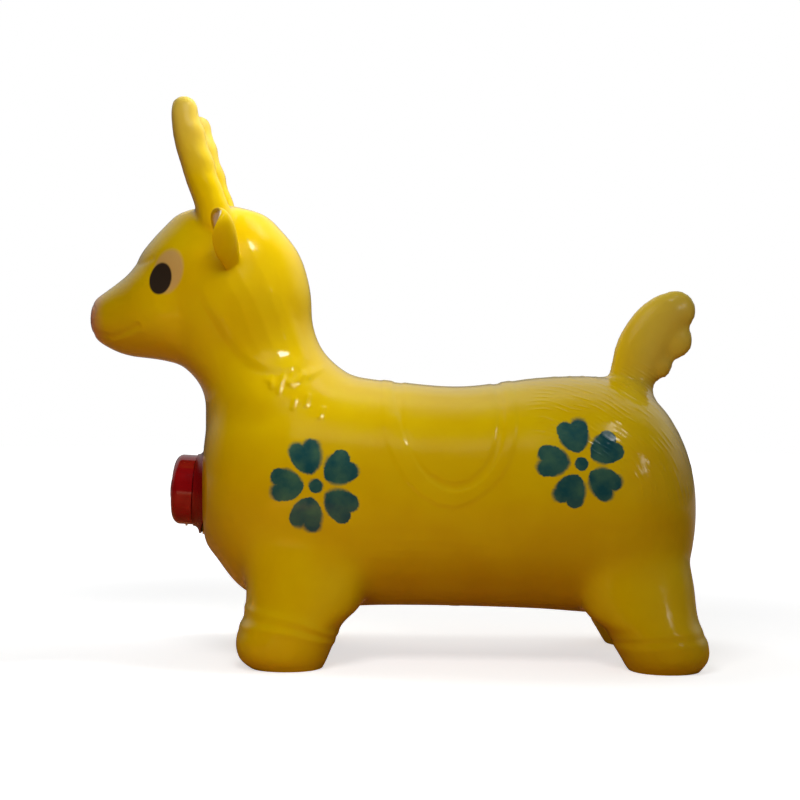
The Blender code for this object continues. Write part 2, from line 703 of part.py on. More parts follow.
def housing_form():
    """The cup with its flange, battery box, speaker seat and posts."""
    ring = SPEAKER_RADIUS + GAP + SPEAKER_LIP
    seat = SPEAKER_RADIUS - SPEAKER_SEAT
    spigot = HOUSING_RADIUS - GAP
    lip_top = SPEAKER_RIM_U + SPEAKER_RIM_THICK
    shelf = BAY_FLOOR_U - PARTITION / 2
    well_floor = HOUSING_BACK_U + HOUSING_WALL
    cup = turned([
        (0.0, HOUSING_BACK_U),
        (HOUSING_RADIUS - CHAMFER, HOUSING_BACK_U),
        (HOUSING_RADIUS, HOUSING_BACK_U + CHAMFER),
        (HOUSING_RADIUS, FLANGE_BACK),
        (FLANGE_RADIUS, FLANGE_BACK),
        *flare(),
        (spigot, RIM_U),
        (spigot, RIM_U + SPIGOT_HEIGHT),
        (BAY_RADIUS, RIM_U + SPIGOT_HEIGHT),
        (BAY_RADIUS, well_floor),
        (0.0, well_floor),
    ], LARGE_ROUND)
    speaker_seat = turned([
        (0.0, shelf),
        (ring, shelf),
        (ring, lip_top),
        (SPEAKER_RADIUS + GAP, lip_top),
        (SPEAKER_RADIUS + GAP, SPEAKER_LEDGE_U),
        (seat, SPEAKER_LEDGE_U),
        (seat, BAY_FLOOR_U - PARTITION / 4),
        (0.0, BAY_FLOOR_U - PARTITION / 4),
    ], LARGE_ROUND)
    side = DOOR_HALF_WIDTH + BOX_WALL
    battery_box = combined(
        block((-side, -HOUSING_RADIUS, well_floor - OVER), (side, HOUSING_RADIUS, BAY_FLOOR_U)),
        rod(BAY_RADIUS + OVER, HOUSING_BACK_U, RIM_U, steps=MEDIUM_ROUND), "INTERSECT")
    screw_posts = [rod(SCREW_POST_RADIUS, HOUSING_BACK_U + OVER, POST_TOP_U, at) for at in COVER_SCREW_PLACES]
    board_posts = [rod(BOARD_POST_RADIUS, shelf, BOARD_BOTTOM_U - GAP, at) for at in BOARD_SCREW_PLACES]
    form = joined(cup, battery_box, speaker_seat, *screw_posts, *board_posts)
    form = cut(
        form,
        plate(door_outline(GAP), HOUSING_BACK_U - OVER, DOOR_FACE_U),
        block((-BOX_HALF_WIDTH, BOX_START, DOOR_FACE_U - OVER), (BOX_HALF_WIDTH, BOX_END, BOX_CEILING_U)),
        rod(SCREW_HOLE, DOOR_FACE_U - OVER, DOOR_FACE_U + DOOR_SCREW_LENGTH, (0.0, DOOR_SCREW_Y)))
    for at in COVER_SCREW_PLACES:
        form = cut(form, rod(SCREW_WELL, HOUSING_BACK_U - OVER, SCREW_SEAT_U, at),
                   rod(SCREW_HOLE, SCREW_SEAT_U - OVER, POST_TOP_U + OVER, at))
    pilot = BOARD_BOTTOM_U - BOARD_SCREW_LENGTH
    return cut(form, *(rod(SCREW_HOLE, pilot, BOARD_BOTTOM_U, at) for at in BOARD_SCREW_PLACES))


def door_form():
    form = plate(door_outline(0.0), HOUSING_BACK_U, DOOR_FACE_U - GAP)
    at = (0.0, DOOR_SCREW_Y)
    sunk = rod(DOOR_HEAD_RADIUS + SCREW_CLEAR, HOUSING_BACK_U - OVER, HOUSING_BACK_U + DOOR_SINK, at)
    return cut(form, sunk, rod(SCREW_HOLE, HOUSING_BACK_U - OVER, DOOR_FACE_U, at))


def screw_form(head_radius, head_thick, length, seat, at, up):
    """A pan-head screw; up is 1 where its tip points along +Z, -1 where it points back."""
    profile = [(0.0, -head_thick), (head_radius * 0.8, -head_thick), (head_radius, -head_thick * 0.6),
               (head_radius, 0.0), (SCREW_RADIUS, 0.0), (SCREW_RADIUS, length - SCREW_RADIUS), (0.0, length)]
    form = turned(profile, SMALL_ROUND)
    if up < 0:
        form = placed(form, Matrix.Rotation(math.pi, 4, "X"))
    return placed(form, Matrix.Translation((*at, seat)))


def cell_form(side):
    """A AAA cell along Y; the two lie head to tail."""
    half = CELL_LENGTH / 2
    shoulder = half - CELL_NUB_LENGTH
    form = turned([(0.0, -half), (CELL_RADIUS - CHAMFER / 2, -half), (CELL_RADIUS, CHAMFER / 2 - half),
                   (CELL_RADIUS, shoulder - CHAMFER / 2), (CELL_RADIUS - CHAMFER / 2, shoulder),
                   (CELL_NUB_RADIUS, shoulder), (CELL_NUB_RADIUS, half), (0.0, half)], MEDIUM_ROUND)
    form = placed(form, Matrix.Rotation(side * math.pi / 2, 4, "X"))
    return placed(form, Matrix.Translation((side * CELL_X, BOX_OFFSET, CELL_U)))


def contact_form(end, low_x, high_x):
    """A sprung contact strip against one end wall of the battery box, bulged towards the cells."""
    wall = CELL_LENGTH / 2 + CONTACT_ROOM - GAP
    face = wall - CONTACT_THICK
    bulge = CELL_LENGTH / 2 + GAP
    half = CONTACT_HEIGHT / 2
    crest = half / 6
    back = bulge + CONTACT_THICK
    wall_side = [(wall, -half), (wall, -half / 2), (back, -crest), (back, crest), (wall, half / 2), (wall, half)]
    cell_side = [(face, half), (face, half / 2), (bulge, crest), (bulge, -crest), (face, -half / 2), (face, -half)]
    outline = wall_side + cell_side
    form = plate(outline, low_x, high_x)
    turn = Matrix(((0, 0, 1, 0), (1, 0, 0, BOX_OFFSET), (0, 1, 0, CELL_U), (0, 0, 0, 1)))
    if end < 0:
        form = placed(form, Matrix.Rotation(math.pi, 4, "Y") @ Matrix.Translation((0, 0, -low_x - high_x)))
    return placed(form, turn)


def basket_form():
    top = SPEAKER_RIM_U + SPEAKER_RIM_THICK
    bottom = SPEAKER_RIM_U - BASKET_DEPTH
    neck = SPEAKER_RADIUS - SPEAKER_SEAT - GAP
    return turned([
        (0.0, bottom), (MAGNET_RADIUS, bottom), (neck, SPEAKER_RIM_U - CONE_DEPTH / 2), (neck, SPEAKER_RIM_U),
        (SPEAKER_RADIUS, SPEAKER_RIM_U), (SPEAKER_RADIUS, top), (neck - BASKET_WALL, top),
        (neck - BASKET_WALL, SPEAKER_RIM_U - CONE_DEPTH / 2 + BASKET_WALL / 2),
        (MAGNET_RADIUS - BASKET_WALL, bottom + BASKET_WALL), (0.0, bottom + BASKET_WALL),
    ], LARGE_ROUND)


def speaker_cone_form():
    """The paper cone with its rolled surround and its dust cap."""
    edge = SPEAKER_RADIUS - SPEAKER_SEAT - BASKET_WALL - 2 * GAP
    top = SPEAKER_RIM_U + SPEAKER_RIM_THICK / 2
    surround = edge - SURROUND_WIDTH
    throat = top - CONE_DEPTH
    upper = [(edge, top), (edge - SURROUND_WIDTH / 2, top + CONE_THICK), (surround, top),
             (DUST_CAP_RADIUS, throat), (DUST_CAP_RADIUS / 2, throat + DUST_CAP_HEIGHT * 0.75),
             (0.0, throat + DUST_CAP_HEIGHT)]
    lower = [(radius, height - CONE_THICK) for radius, height in reversed(upper)]
    return turned(upper + lower, MEDIUM_ROUND)


def board_form():
    radius = BAY_RADIUS - BOARD_EDGE
    lean = math.degrees(math.acos(BOARD_HALF_WIDTH / radius))
    outline = arc((0, 0), radius, lean, 180 - lean, 8) + arc((0, 0), radius, 180 + lean, 360 - lean, 8)
    form = plate(outline, BOARD_BOTTOM_U, BOARD_TOP_U)
    low, high = BOARD_BOTTOM_U - OVER, BOARD_TOP_U + OVER
    return cut(form, *(rod(SCREW_HOLE, low, high, at) for at in BOARD_SCREW_PLACES))


def play_switch_form():
    half = SWITCH_SIDE / 2
    top = ON_BOARD_U + SWITCH_THICK
    body = block((-half, -half, ON_BOARD_U), (half, half, top))
    return joined(body, rod(SWITCH_PLUNGER_RADIUS, top - OVER, SWITCH_TOP_U))


def tilt_tube_form():
    """The motion switch, a small tube lying on the board."""
    form = rod(TILT_TUBE_RADIUS, -TILT_TUBE_LENGTH / 2, TILT_TUBE_LENGTH / 2)
    form = placed(form, Matrix.Rotation(math.pi / 2, 4, "X"))
    return placed(form, Matrix.Translation((TILT_TUBE_X, 0, ON_BOARD_U + TILT_TUBE_RADIUS)))


def chip_form():
    """The sound chip under its drop of black resin."""
    form = turned([(0.0, 0.0), (CHIP_RADIUS, 0.0), (CHIP_RADIUS * 0.9, CHIP_HEIGHT * 0.5),
                   (CHIP_RADIUS * 0.6, CHIP_HEIGHT * 0.9), (0.0, CHIP_HEIGHT)], MEDIUM_ROUND // 2)
    return placed(form, Matrix.Translation((*CHIP_PLACE, ON_BOARD_U)))


def led_form(at):
    dome = LED_HEIGHT - LED_RADIUS
    crown = [(LED_RADIUS * math.cos(a), dome + LED_RADIUS * math.sin(a))
             for a in (0, math.pi / 6, math.pi / 3)]
    form = turned([(0.0, 0.0), (LED_RADIUS + LED_COLLAR, 0.0), (LED_RADIUS + LED_COLLAR, LED_COLLAR_HEIGHT),
                   (LED_RADIUS, LED_COLLAR_HEIGHT), *crown, (0.0, LED_HEIGHT)], SMALL_ROUND)
    return placed(form, Matrix.Translation((*at, ON_BOARD_U)))


def cover_form():
    """The cap with its sound slots, screw bosses, switch slot and switch cradle."""
    inner = HOUSING_RADIUS
    fillet = arc((COVER_RADIUS - COVER_FILLET, COVER_TOP_U - COVER_FILLET), COVER_FILLET, 0, 90, 5)
    inner_fillet = COVER_FILLET - COVER_WALL
    inside = arc((inner - inner_fillet, COVER_INSIDE_U - inner_fillet), inner_fillet, 90, 0, 4)
    hole = BUTTON_RADIUS + RUN
    form = turned([(COVER_RADIUS, COVER_FOOT_U), *fillet, (hole, COVER_TOP_U), (hole, COVER_INSIDE_U),
                   *inside, (inner, COVER_FOOT_U)], LARGE_ROUND)
    for x, y in COVER_SCREW_PLACES:
        form = joined(form, rod(BOSS_RADIUS, POST_TOP_U + GAP, COVER_INSIDE_U + OVER, (x, y)))
    cradle = POWER_BODY[1] / 2 + GAP
    depth = POWER_BODY[0] - OVER
    height = POWER_BODY[2] / 2
    for side in (-1, 1):
        near, far = sorted((side * cradle, side * (cradle + POWER_CRADLE)))
        form = joined(form, block((-inner - OVER / 2, near, POWER_U - height),
                                  (depth - POWER_FACE_X, far, POWER_U + height)))
    for x, y in COVER_SCREW_PLACES:
        form = cut(form, rod(SCREW_HOLE, POST_TOP_U, SCREW_SEAT_U + COVER_SCREW_LENGTH, (x, y)))
    for index in range(SLOT_COUNT):
        slot = block((SLOT_INNER, -SLOT_WIDTH / 2, COVER_INSIDE_U - OVER),
                     (SLOT_OUTER, SLOT_WIDTH / 2, COVER_TOP_U + OVER))
        turn = Matrix.Rotation(math.tau * (index + 0.5) / SLOT_COUNT, 4, "Z")
        form = cut(form, placed(slot, turn))
    reach = POWER_KNOB[0] / 2 + POWER_TRAVEL / 2 + GAP
    rise = POWER_KNOB[1] / 2 + GAP
    return cut(form, block((-COVER_RADIUS - OVER, -reach, POWER_U - rise),
                           (2 * OVER - inner, reach, POWER_U + rise)))


def button_form():
    wall = BUTTON_RADIUS - BUTTON_WALL
    flange = BUTTON_RADIUS + BUTTON_FLANGE
    top = COVER_TOP_U + BUTTON_PROUD
    return turned([
        (0.0, STEM_END_U), (BUTTON_STEM_RADIUS, STEM_END_U), (BUTTON_STEM_RADIUS, BUTTON_CEILING_U),
        (wall, BUTTON_CEILING_U), (wall, BUTTON_FLANGE_BACK_U), (flange, BUTTON_FLANGE_BACK_U),
        (flange, BUTTON_FLANGE_TOP_U), (BUTTON_RADIUS, BUTTON_FLANGE_TOP_U),
        (BUTTON_RADIUS, top - BUTTON_EDGE), (BUTTON_RADIUS - BUTTON_EDGE, top), (0.0, top),
    ], LARGE_ROUND)


def spring_form():
    """The coil between the board and the button."""
    low = ON_BOARD_U + BUTTON_SPRING_WIRE
    high = BUTTON_CEILING_U - GAP - BUTTON_SPRING_WIRE
    count = BUTTON_SPRING_TURNS * SMALL_ROUND
    rise = (high - low) / count
    form = bmesh.new()
    loops = []
    for step in range(count + 1):
        turn = Matrix.Rotation(math.tau * step / SMALL_ROUND, 4, "Z")
        frame = Matrix.Translation((0, 0, low + rise * step)) @ turn
        frame = frame @ Matrix.Translation((BUTTON_SPRING_RADIUS, 0, 0)) @ Matrix.Rotation(math.pi / 2, 4, "X")
        made = bmesh.ops.create_circle(form, cap_ends=False, segments=BUTTON_SPRING_SIDES,
                                       radius=BUTTON_SPRING_WIRE, matrix=frame)["verts"]
        loops.append(list({edge for vert in made for edge in vert.link_edges}))
    for first, second in zip(loops, loops[1:]):
        bmesh.ops.bridge_loops(form, edges=first + second)
    bmesh.ops.holes_fill(form, edges=[edge for edge in form.edges if edge.is_boundary], sides=0)
    return tidy(form)


def power_switch_form():
    depth, width, height = POWER_BODY
    body = block((-POWER_FACE_X, -width / 2, POWER_U - height / 2),
                 (depth - POWER_FACE_X, width / 2, POWER_U + height / 2))
    reach = POWER_FOOT[1] / 2 + POWER_TRAVEL / 2 + GAP
    rise = POWER_FOOT[2] / 2 + GAP
    channel = block((-POWER_FACE_X - OVER, -reach, POWER_U - rise),
                    (POWER_CHANNEL_DEPTH - POWER_FACE_X, reach, POWER_U + rise))
    return cut(body, channel)


def power_slider_form():
    """The slide's foot and its knob, made round the knob's own middle."""
    foot_back = POWER_CHANNEL_DEPTH - POWER_FACE_X - GAP
    foot = block((foot_back - POWER_FOOT[0], -POWER_FOOT[1] / 2, -POWER_FOOT[2] / 2),
                 (foot_back, POWER_FOOT[1] / 2, POWER_FOOT[2] / 2))
    knob = block((-COVER_RADIUS - POWER_PROUD, -POWER_KNOB[0] / 2, -POWER_KNOB[1] / 2),
                 (foot_back - POWER_FOOT[0] / 2, POWER_KNOB[0] / 2, POWER_KNOB[1] / 2))
    return joined(foot, knob)


def valve_form():
    """The grommet in the belly skin, made with its flange's upper face at z = 0."""
    bore = VALVE_BORE - VALVE_TUBE_WALL
    return turned([
        (bore, -VALVE_FLANGE_THICK), (VALVE_FLANGE_RADIUS - CHAMFER / 2, -VALVE_FLANGE_THICK),
        (VALVE_FLANGE_RADIUS, CHAMFER / 2 - VALVE_FLANGE_THICK), (VALVE_FLANGE_RADIUS, 0.0),
        (VALVE_BORE, 0.0), (VALVE_BORE, VALVE_TUBE_LENGTH), (bore, VALVE_TUBE_LENGTH),
    ], MEDIUM_ROUND)


def plug_form():
    """The ribbed air plug, made with its head's upper face at z = 0."""
    crest = VALVE_BORE - VALVE_TUBE_WALL - GAP
    root = crest - PLUG_RIB_DEPTH
    pitch = PLUG_LENGTH / (PLUG_RIBS + 1)
    ribs = []
    for index in range(PLUG_RIBS, 0, -1):
        ribs += [(root, pitch * (index + 0.5)), (crest, pitch * index), (root, pitch * index)]
    return turned([
        (0.0, -PLUG_HEAD_THICK), (PLUG_HEAD_RADIUS - CHAMFER, -PLUG_HEAD_THICK),
        (PLUG_HEAD_RADIUS, CHAMFER - PLUG_HEAD_THICK), (PLUG_HEAD_RADIUS, 0.0), (root, 0.0),
        *reversed(ribs), (root * 0.8, PLUG_LENGTH), (0.0, PLUG_LENGTH),
    ], MEDIUM_ROUND)


def empty(name, matrix):
    obj = bpy.data.objects.new(name, None)
    obj.matrix_world = matrix
    bpy.context.scene.collection.objects.link(obj)
    return obj


def make_module():
    """Everything that comes out of the chest with the module, in the seat's own frame."""
    red = material("dark red ABS", "#7A0D0F", 0.32)
    clear_red = material("clear red styrene", "#B0141A", 0.15, alpha=0.85)
    white = material("white ABS", "#E9E6DD", 0.35)
    black = material("black ABS", "#1E1E20", 0.45)
    foam = material("black foam", "#26262A", 0.9)
    steel = material("zinc plated steel", "#B9BCC0", 0.3, metallic=1.0)
    ferrite = material("ferrite", "#3A3B3E", 0.6)
    paper = material("black paper", "#2B2A29", 0.85)
    green = material("green circuit board", "#1F6B3A", 0.4)
    jacket = material("cell jacket", "#C8A227", 0.25, metallic=0.6)
    lens = material("clear lamp lens", "#F1F3F2", 0.1, alpha=0.6)

    frame = empty("module_frame", MODULE_FRAME)
    finished("seal_ring", seal_form(), foam, frame)
    finished("module_housing", housing_form(), red, frame)
    finished("battery_door", door_form(), red, frame)
    door_seat = HOUSING_BACK_U + DOOR_SINK - GAP
    finished("door_screw", screw_form(DOOR_HEAD_RADIUS, DOOR_HEAD_THICK, DOOR_SCREW_LENGTH, door_seat,
                                      (0.0, DOOR_SCREW_Y), 1), steel, frame)
    finished("battery_upper", cell_form(1), jacket, frame)
    finished("battery_lower", cell_form(-1), jacket, frame)
    reach = CELL_X + CONTACT_WIDTH / 2
    finished("contact_bridge", contact_form(1, -reach, reach), steel, frame)
    finished("contact_plus", contact_form(-1, CELL_X - CONTACT_WIDTH / 2, reach), steel, frame)
    finished("contact_minus", contact_form(-1, -reach, CONTACT_WIDTH / 2 - CELL_X), steel, frame)

    magnet = rod(MAGNET_RADIUS, BAY_FLOOR_U + GAP, MAGNET_TOP_U, steps=MEDIUM_ROUND)
    finished("speaker_magnet", magnet, ferrite, frame)
    finished("speaker_basket", basket_form(), steel, frame)
    finished("speaker_cone", speaker_cone_form(), paper, frame)
    finished("circuit_board", board_form(), green, frame)
    finished("play_switch", play_switch_form(), black, frame)
    finished("motion_switch", tilt_tube_form(), steel, frame)
    finished("sound_chip", chip_form(), black, frame)
    for number, at in enumerate(LED_PLACES, 1):
        finished(f"led_{number}", led_form(at), lens, frame)
    for number, at in enumerate(BOARD_SCREW_PLACES, 1):
        screw = screw_form(SCREW_HEAD_RADIUS, SCREW_HEAD_THICK, BOARD_SCREW_LENGTH, ON_BOARD_U, at, -1)
        finished(f"board_screw_{number}", screw, steel, frame)

    finished("module_cover", cover_form(), clear_red, frame)
    for number, at in enumerate(COVER_SCREW_PLACES, 1):
        screw = screw_form(SCREW_HEAD_RADIUS, SCREW_HEAD_THICK, COVER_SCREW_LENGTH, SCREW_SEAT_U - GAP, at, 1)
        finished(f"cover_screw_{number}", screw, steel, frame)
    finished("play_button", button_form(), red, frame)
    finished("button_spring", spring_form(), steel, frame)
    finished("power_switch", power_switch_form(), black, frame)
    slider = finished("power_slider", power_slider_form(), white, frame)
    slider.location = (0.0, -POWER_TRAVEL / 2, POWER_U)


def make_valve(seat_z):
    clear_white = material("soft white PVC", "#EDEBE4", 0.35)
    flange_top = seat_z - GAP
    insert = finished("valve_insert", valve_form(), clear_white)
    insert.location = (VALVE_X, 0.0, flange_top)
    plug = finished("air_plug", plug_form(), clear_white)
    plug.location = (VALVE_X, 0.0, flange_top - VALVE_FLANGE_THICK - GAP)


def main():
    clear_scene()
    outside, hollow = moulding()
    valve_seat_z = belly_height(outside, VALVE_X) + VALVE_SINK
    yellow = material("yellow PVC skin", "#E8CF10", 0.28)
    finished("body_skin", skin_form(outside, hollow, valve_seat_z), yellow)
    make_valve(valve_seat_z)
    make_module()


main()
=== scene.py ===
"""The looks of an inflatable goat to sit and bounce on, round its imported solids.

Metres, +Z up. The head points to -X and the soles stand on z = 0.
"""

import math

import bmesh
import bpy
import numpy as np
from mathutils import Matrix, Vector, noise
from mathutils.bvhtree import BVHTree


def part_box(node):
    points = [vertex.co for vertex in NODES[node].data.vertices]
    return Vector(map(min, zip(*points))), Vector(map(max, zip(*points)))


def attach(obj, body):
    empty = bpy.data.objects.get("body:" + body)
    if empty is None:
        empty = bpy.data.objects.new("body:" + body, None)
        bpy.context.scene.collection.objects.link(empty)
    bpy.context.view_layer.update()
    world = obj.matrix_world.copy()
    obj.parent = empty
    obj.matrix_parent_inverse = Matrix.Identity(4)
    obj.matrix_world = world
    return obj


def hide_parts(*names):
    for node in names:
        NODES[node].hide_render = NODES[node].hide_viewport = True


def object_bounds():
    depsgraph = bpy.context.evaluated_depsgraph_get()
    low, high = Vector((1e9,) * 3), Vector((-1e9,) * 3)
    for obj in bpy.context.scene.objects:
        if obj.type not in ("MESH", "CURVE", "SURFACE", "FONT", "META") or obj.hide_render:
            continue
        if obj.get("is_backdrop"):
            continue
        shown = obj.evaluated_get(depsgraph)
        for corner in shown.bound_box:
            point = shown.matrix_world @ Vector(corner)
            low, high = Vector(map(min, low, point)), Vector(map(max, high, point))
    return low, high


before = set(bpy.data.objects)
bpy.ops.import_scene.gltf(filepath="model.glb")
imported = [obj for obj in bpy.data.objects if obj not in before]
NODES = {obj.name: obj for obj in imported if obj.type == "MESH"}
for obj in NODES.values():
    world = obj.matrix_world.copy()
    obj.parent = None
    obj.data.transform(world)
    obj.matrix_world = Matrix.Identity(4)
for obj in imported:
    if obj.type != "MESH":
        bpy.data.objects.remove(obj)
CAD_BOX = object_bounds()


def mm(*rows):
    """Rows of sizes given in millimetres, in metres."""
    return np.array(rows) / 1000


# How finely the forms are cut, and how far their joins are eased
SPAN_STEPS = 5
RING_POINTS = 28
BODY_VOXEL = 0.0045
SKIN_VOXEL = 0.0030
EAR_ROUND = 56
FINE_ROUND = 96
TIP = 0.0005
OVER = 0.001
SMALL_ROUND = 32
VALVE_ROUND = 64
JOIN_PASSES = 24
SKIN_TRIANGLES = 196000
THIGH_ZONE = (0.041, 0.140, 0.050)
TAIL_ROOT_ZONE = (0.226, 0.264, 0.180)
HORN_END_Z = 0.490

# The skin's stations, as in the part's source. Trunk: x, belly height, back height, half width
CHEST_X = -0.1785
CHEST_Z = 0.1525
TRUNK = ((CHEST_X, CHEST_Z, CHEST_Z, TIP), *mm(
    (-177, 107, 205, 36.5), (-165, 89, 243, 66), (-137, 58, 259, 90), (-89, 43, 269, 104),
    (-13, 46, 259, 105), (64, 46, 253, 105), (140, 44, 263, 111), (206, 40, 263, 113),
    (244, 43, 246, 102), (268, 65, 212, 79), (280, 102, 178, 43), (285.5, 142, 142, 0.5),
))

# Head and neck: z, front x, back x, half width
NECK = mm(
    (425.5, -164, -164, 0.5), (415, -203, -125, 38), (404, -216, -111.5, 47), (386, -232.5, -95.5, 56),
    (367, -244, -85.5, 61), (338, -237, -78.5, 63), (314, -230, -77.5, 60), (291, -217.5, -70, 57),
    (275, -205, -57, 59), (258, -187, -34, 67), (239, -178, -12, 79), (211, -177, 0, 88),
    (180, -165, 0, 85),
)

# Muzzle: x, chin height, top height, half width
MUZZLE = mm(
    (-289.5, 314, 314, 0.5), (-284, 296, 333, 21), (-275.5, 289.5, 338.5, 29), (-265.5, 284, 346, 35),
    (-253, 279.5, 355.5, 41), (-242, 278, 366.5, 47), (-223, 276, 380, 54), (-204, 272, 385, 56),
)

# Legs: z, front x, back x, inner y, outer y; the first station lies below the sole
FRONT_LEG = mm(
    (-12, -108, -68, 62, 96), (0, -127, -60, 44, 111), (9, -138, -56, 40, 118),
    (26, -140, -49, 37, 119), (40, -135, -43, 34, 117), (54, -132, -27, 26, 114),
    (80, -134, -20, 15, 106), (120, -150, -20, 12, 95),
)
REAR_LEG = mm(
    (-12, 224, 266, 62, 96), (0, 212, 278, 44, 111), (11, 206, 286, 40, 118), (22, 199, 286, 37, 119),
    (36, 193, 280, 35, 117), (48, 176, 276, 29, 114), (80, 164, 274, 18, 106), (120, 160, 265, 12, 95),
)

# Horn: x, y, z, radius
HORN = mm(
    (-164, 40, 398, 17), (-169, 41.5, 418, 16), (-176.5, 43, 437, 15.6), (-182.2, 44, 455, 15.5),
    (-187.8, 46, 473, 15.2), (-191.2, 48, 488, 14.1), (-193.2, 49, 498, 13.4),
    (-194.2, 49.6, 506, 12.2), (-194.7, 50, 511.2, 10.5), (-195, 50.2, 515, 7.4),
    (-195.1, 50.3, 516.8, 4), (-195.2, 50.3, 517.5, 0.5),
)

# Ear: x, y, z, half width, half thickness
EAR = mm(
    (-148, 45, 359, 9, 7.2), (-146.5, 60, 369.5, 11.8, 6), (-146, 73, 381, 15.2, 5.2),
    (-147.2, 83, 392, 16, 4.8), (-149.5, 89.5, 399.5, 14.4, 4.4), (-151.5, 92.5, 403.5, 11.2, 3.8),
    (-153, 94, 405.8, 6.6, 2.6), (-153.8, 94.7, 407, 0.5, 0.5),
)
EAR_ACROSS = Vector((0.14, 0.69, -0.70)).normalized()
EAR_FACING = (Vector(EAR[-1][:3]) - Vector(EAR[0][:3])).cross(EAR_ACROSS).normalized()
EAR_CUP = 0.0165

# Tail plume: x, z, half width, half thickness; and the lobes along its rear edge
TAIL = mm(
    (219, 210, 28, 28), (222.5, 235, 24.5, 21.5), (226, 262, 21.5, 14.5), (234, 287, 24.5, 14),
    (246, 308, 24.5, 13), (259, 323, 21.5, 12), (270, 331, 15, 9.5), (280, 337, 0.5, 0.5),
)
TAIL_LOBES = mm(
    (267, 327, 20, 9.5), (265.5, 299, 18.5, 9), (247.5, 277, 17.5, 10),
)

# The module's seat in the chest: u is the distance out from it
MODULE_TILT = math.radians(3.0)
SEAT = Vector((CHEST_X + 0.0010, 0.0, CHEST_Z))
MODULE_FRAME = Matrix.Translation(SEAT) @ Matrix.Rotation(MODULE_TILT - math.pi / 2, 4, "Y")
SPOT_RADIUS = 0.04128
SPOT_DEPTH = 0.0217
POCKET_RADIUS = 0.03128
POCKET_FLOOR_U = -0.0242
VALVE_RECESS_RADIUS = 0.0103
VALVE_BORE_RADIUS = 0.0054
VALVE_TUBE_LENGTH = 0.014
PLUG_LENGTH = 0.011

# The module in its own frame, as in the part's source
HOUSING_RADIUS = 0.03088
COVER_RADIUS = 0.03288
FLANGE_RADIUS = 0.04068
BAY_RADIUS = 0.02828
HOUSING_BACK_U = -0.0238
DOOR_FACE_U = -0.0218
BOX_CEILING_U = -0.0105
BAY_FLOOR_U = -0.0090
POST_TOP_U = 0.0039
SCREW_SEAT_U = -0.0021
BOARD_BOTTOM_U = 0.0055
FLANGE_BACK_U = 0.0018
RIM_U = 0.0090
COVER_FOOT_U = 0.0093
COVER_INSIDE_U = 0.0290
COVER_TOP_U = 0.0310
POWER_U = 0.0160
SCREW_HOLE = 0.0014
SCREW_WELL = 0.0025
DOOR_SCREW_DEPTH = 0.0075
BOARD_SCREW_DEPTH = 0.0080
COVER_SCREW_DEPTH = 0.0110
SCREW_PLACES = ((0.0162, 0.0184), (0.0162, -0.0184), (-0.0162, 0.0184), (-0.0162, -0.0184))
BOARD_SCREW_PLACES = ((0.0, -0.02388), (0.0, 0.02388))
BOX_LOW = Vector((-0.0111, -0.02545, DOOR_FACE_U - OVER))
BOX_HIGH = Vector((0.0111, 0.02305, BOX_CEILING_U))
DOOR_SCREW_Y = 0.02665
DOOR_HALF_WIDTH = 0.0124
DOOR_EDGE = 0.0013
DOOR_LUG_RADIUS = 0.0037
SCREW_POST_RADIUS = 0.0035
BOARD_POST_RADIUS = 0.0030
BOX_OUTSIDE = (0.0138, 0.0309)
CUP_FLOOR = 0.0026
CUP_COLLAR = 0.0020
CUP_FOOT = 0.0010
FLANGE_EDGE = 0.0006
FLARE = (0.0065, 0.0056)
SEAM = 0.0003
SEAL_RADII = (0.0317, 0.0389)
SEAL_THICKNESS = 0.0012
SPEAKER_SEAT = mm((0, -9.75), (22.1, -9.75), (22.1, 1.4), (20.3, 1.4), (20.3, -0.1), (18.4, -0.1),
                  (18.4, -9.375), (0, -9.375))
COVER_FILLET = 0.0070
COVER_BOSS_RADIUS = 0.0028
SOUND_SLOTS = 12
SLOT_REACH = (0.0150, 0.0212)
SLOT_HALF = 0.0009
SWITCH_SLOT = (0.0036, 0.0012)
CRADLE = (0.0053, 0.0065, 0.0029, 0.0267)
BUTTON_RADIUS = 0.0110
BUTTON_GAP = 0.0004
BUTTON_RISE = 0.0012
BUTTON_BACK = mm((0, 13.3), (2.4, 13.3), (2.4, 30), (9.4, 30), (9.4, 27.1), (12.8, 27.1), (12.8, 28.7),
                 (11, 28.7))
DISH_RADIUS = 0.0098
DISH_DEPTH = 0.0005

# The rim is swept back round the chest, and the cover's face is a shallow dome
RIM_SWEEP = 0.0090
COVER_DOME = 0.0028
DOME_START_U = 0.0120
FILLET_STEPS = 10

# Relief moulded into the sides, as lines of x and z; it is the same on both sides
SADDLE_OUTER = mm(
    (-11.5, 400), (-11.3, 247), (-9.8, 222), (-5.9, 202.6), (1.4, 185), (12.1, 167.7), (24.6, 155.5),
    (40.5, 146.8), (56.4, 144.8), (72.2, 150.7), (86.2, 161.4), (96.7, 172.9), (104.6, 186.1),
    (108.4, 200.2), (110.6, 214.2), (111.5, 230), (111.5, 400))
SADDLE_INNER = mm(
    (-1.5, 400), (-0.3, 245), (2.7, 231), (7.3, 216.8), (12.8, 201.9), (18.1, 191.4), (25.3, 178.3),
    (33.3, 169.6), (44.8, 161.8), (57.2, 160.2), (69.5, 162.9), (80, 170.1), (88.8, 181.6),
    (95.1, 194.7), (98.9, 207), (100.4, 222.9), (100.8, 400))
SADDLE_FIELD = mm(
    (8.2, 400), (8.9, 241.8), (10.9, 213.3), (16.3, 195.7), (25.3, 182.7), (34.1, 174.4), (44.8, 168.4),
    (55.4, 166.3), (68.6, 169.5), (80, 180.6), (87.2, 192), (91.4, 205.2), (93.1, 218.4), (92.8, 400))
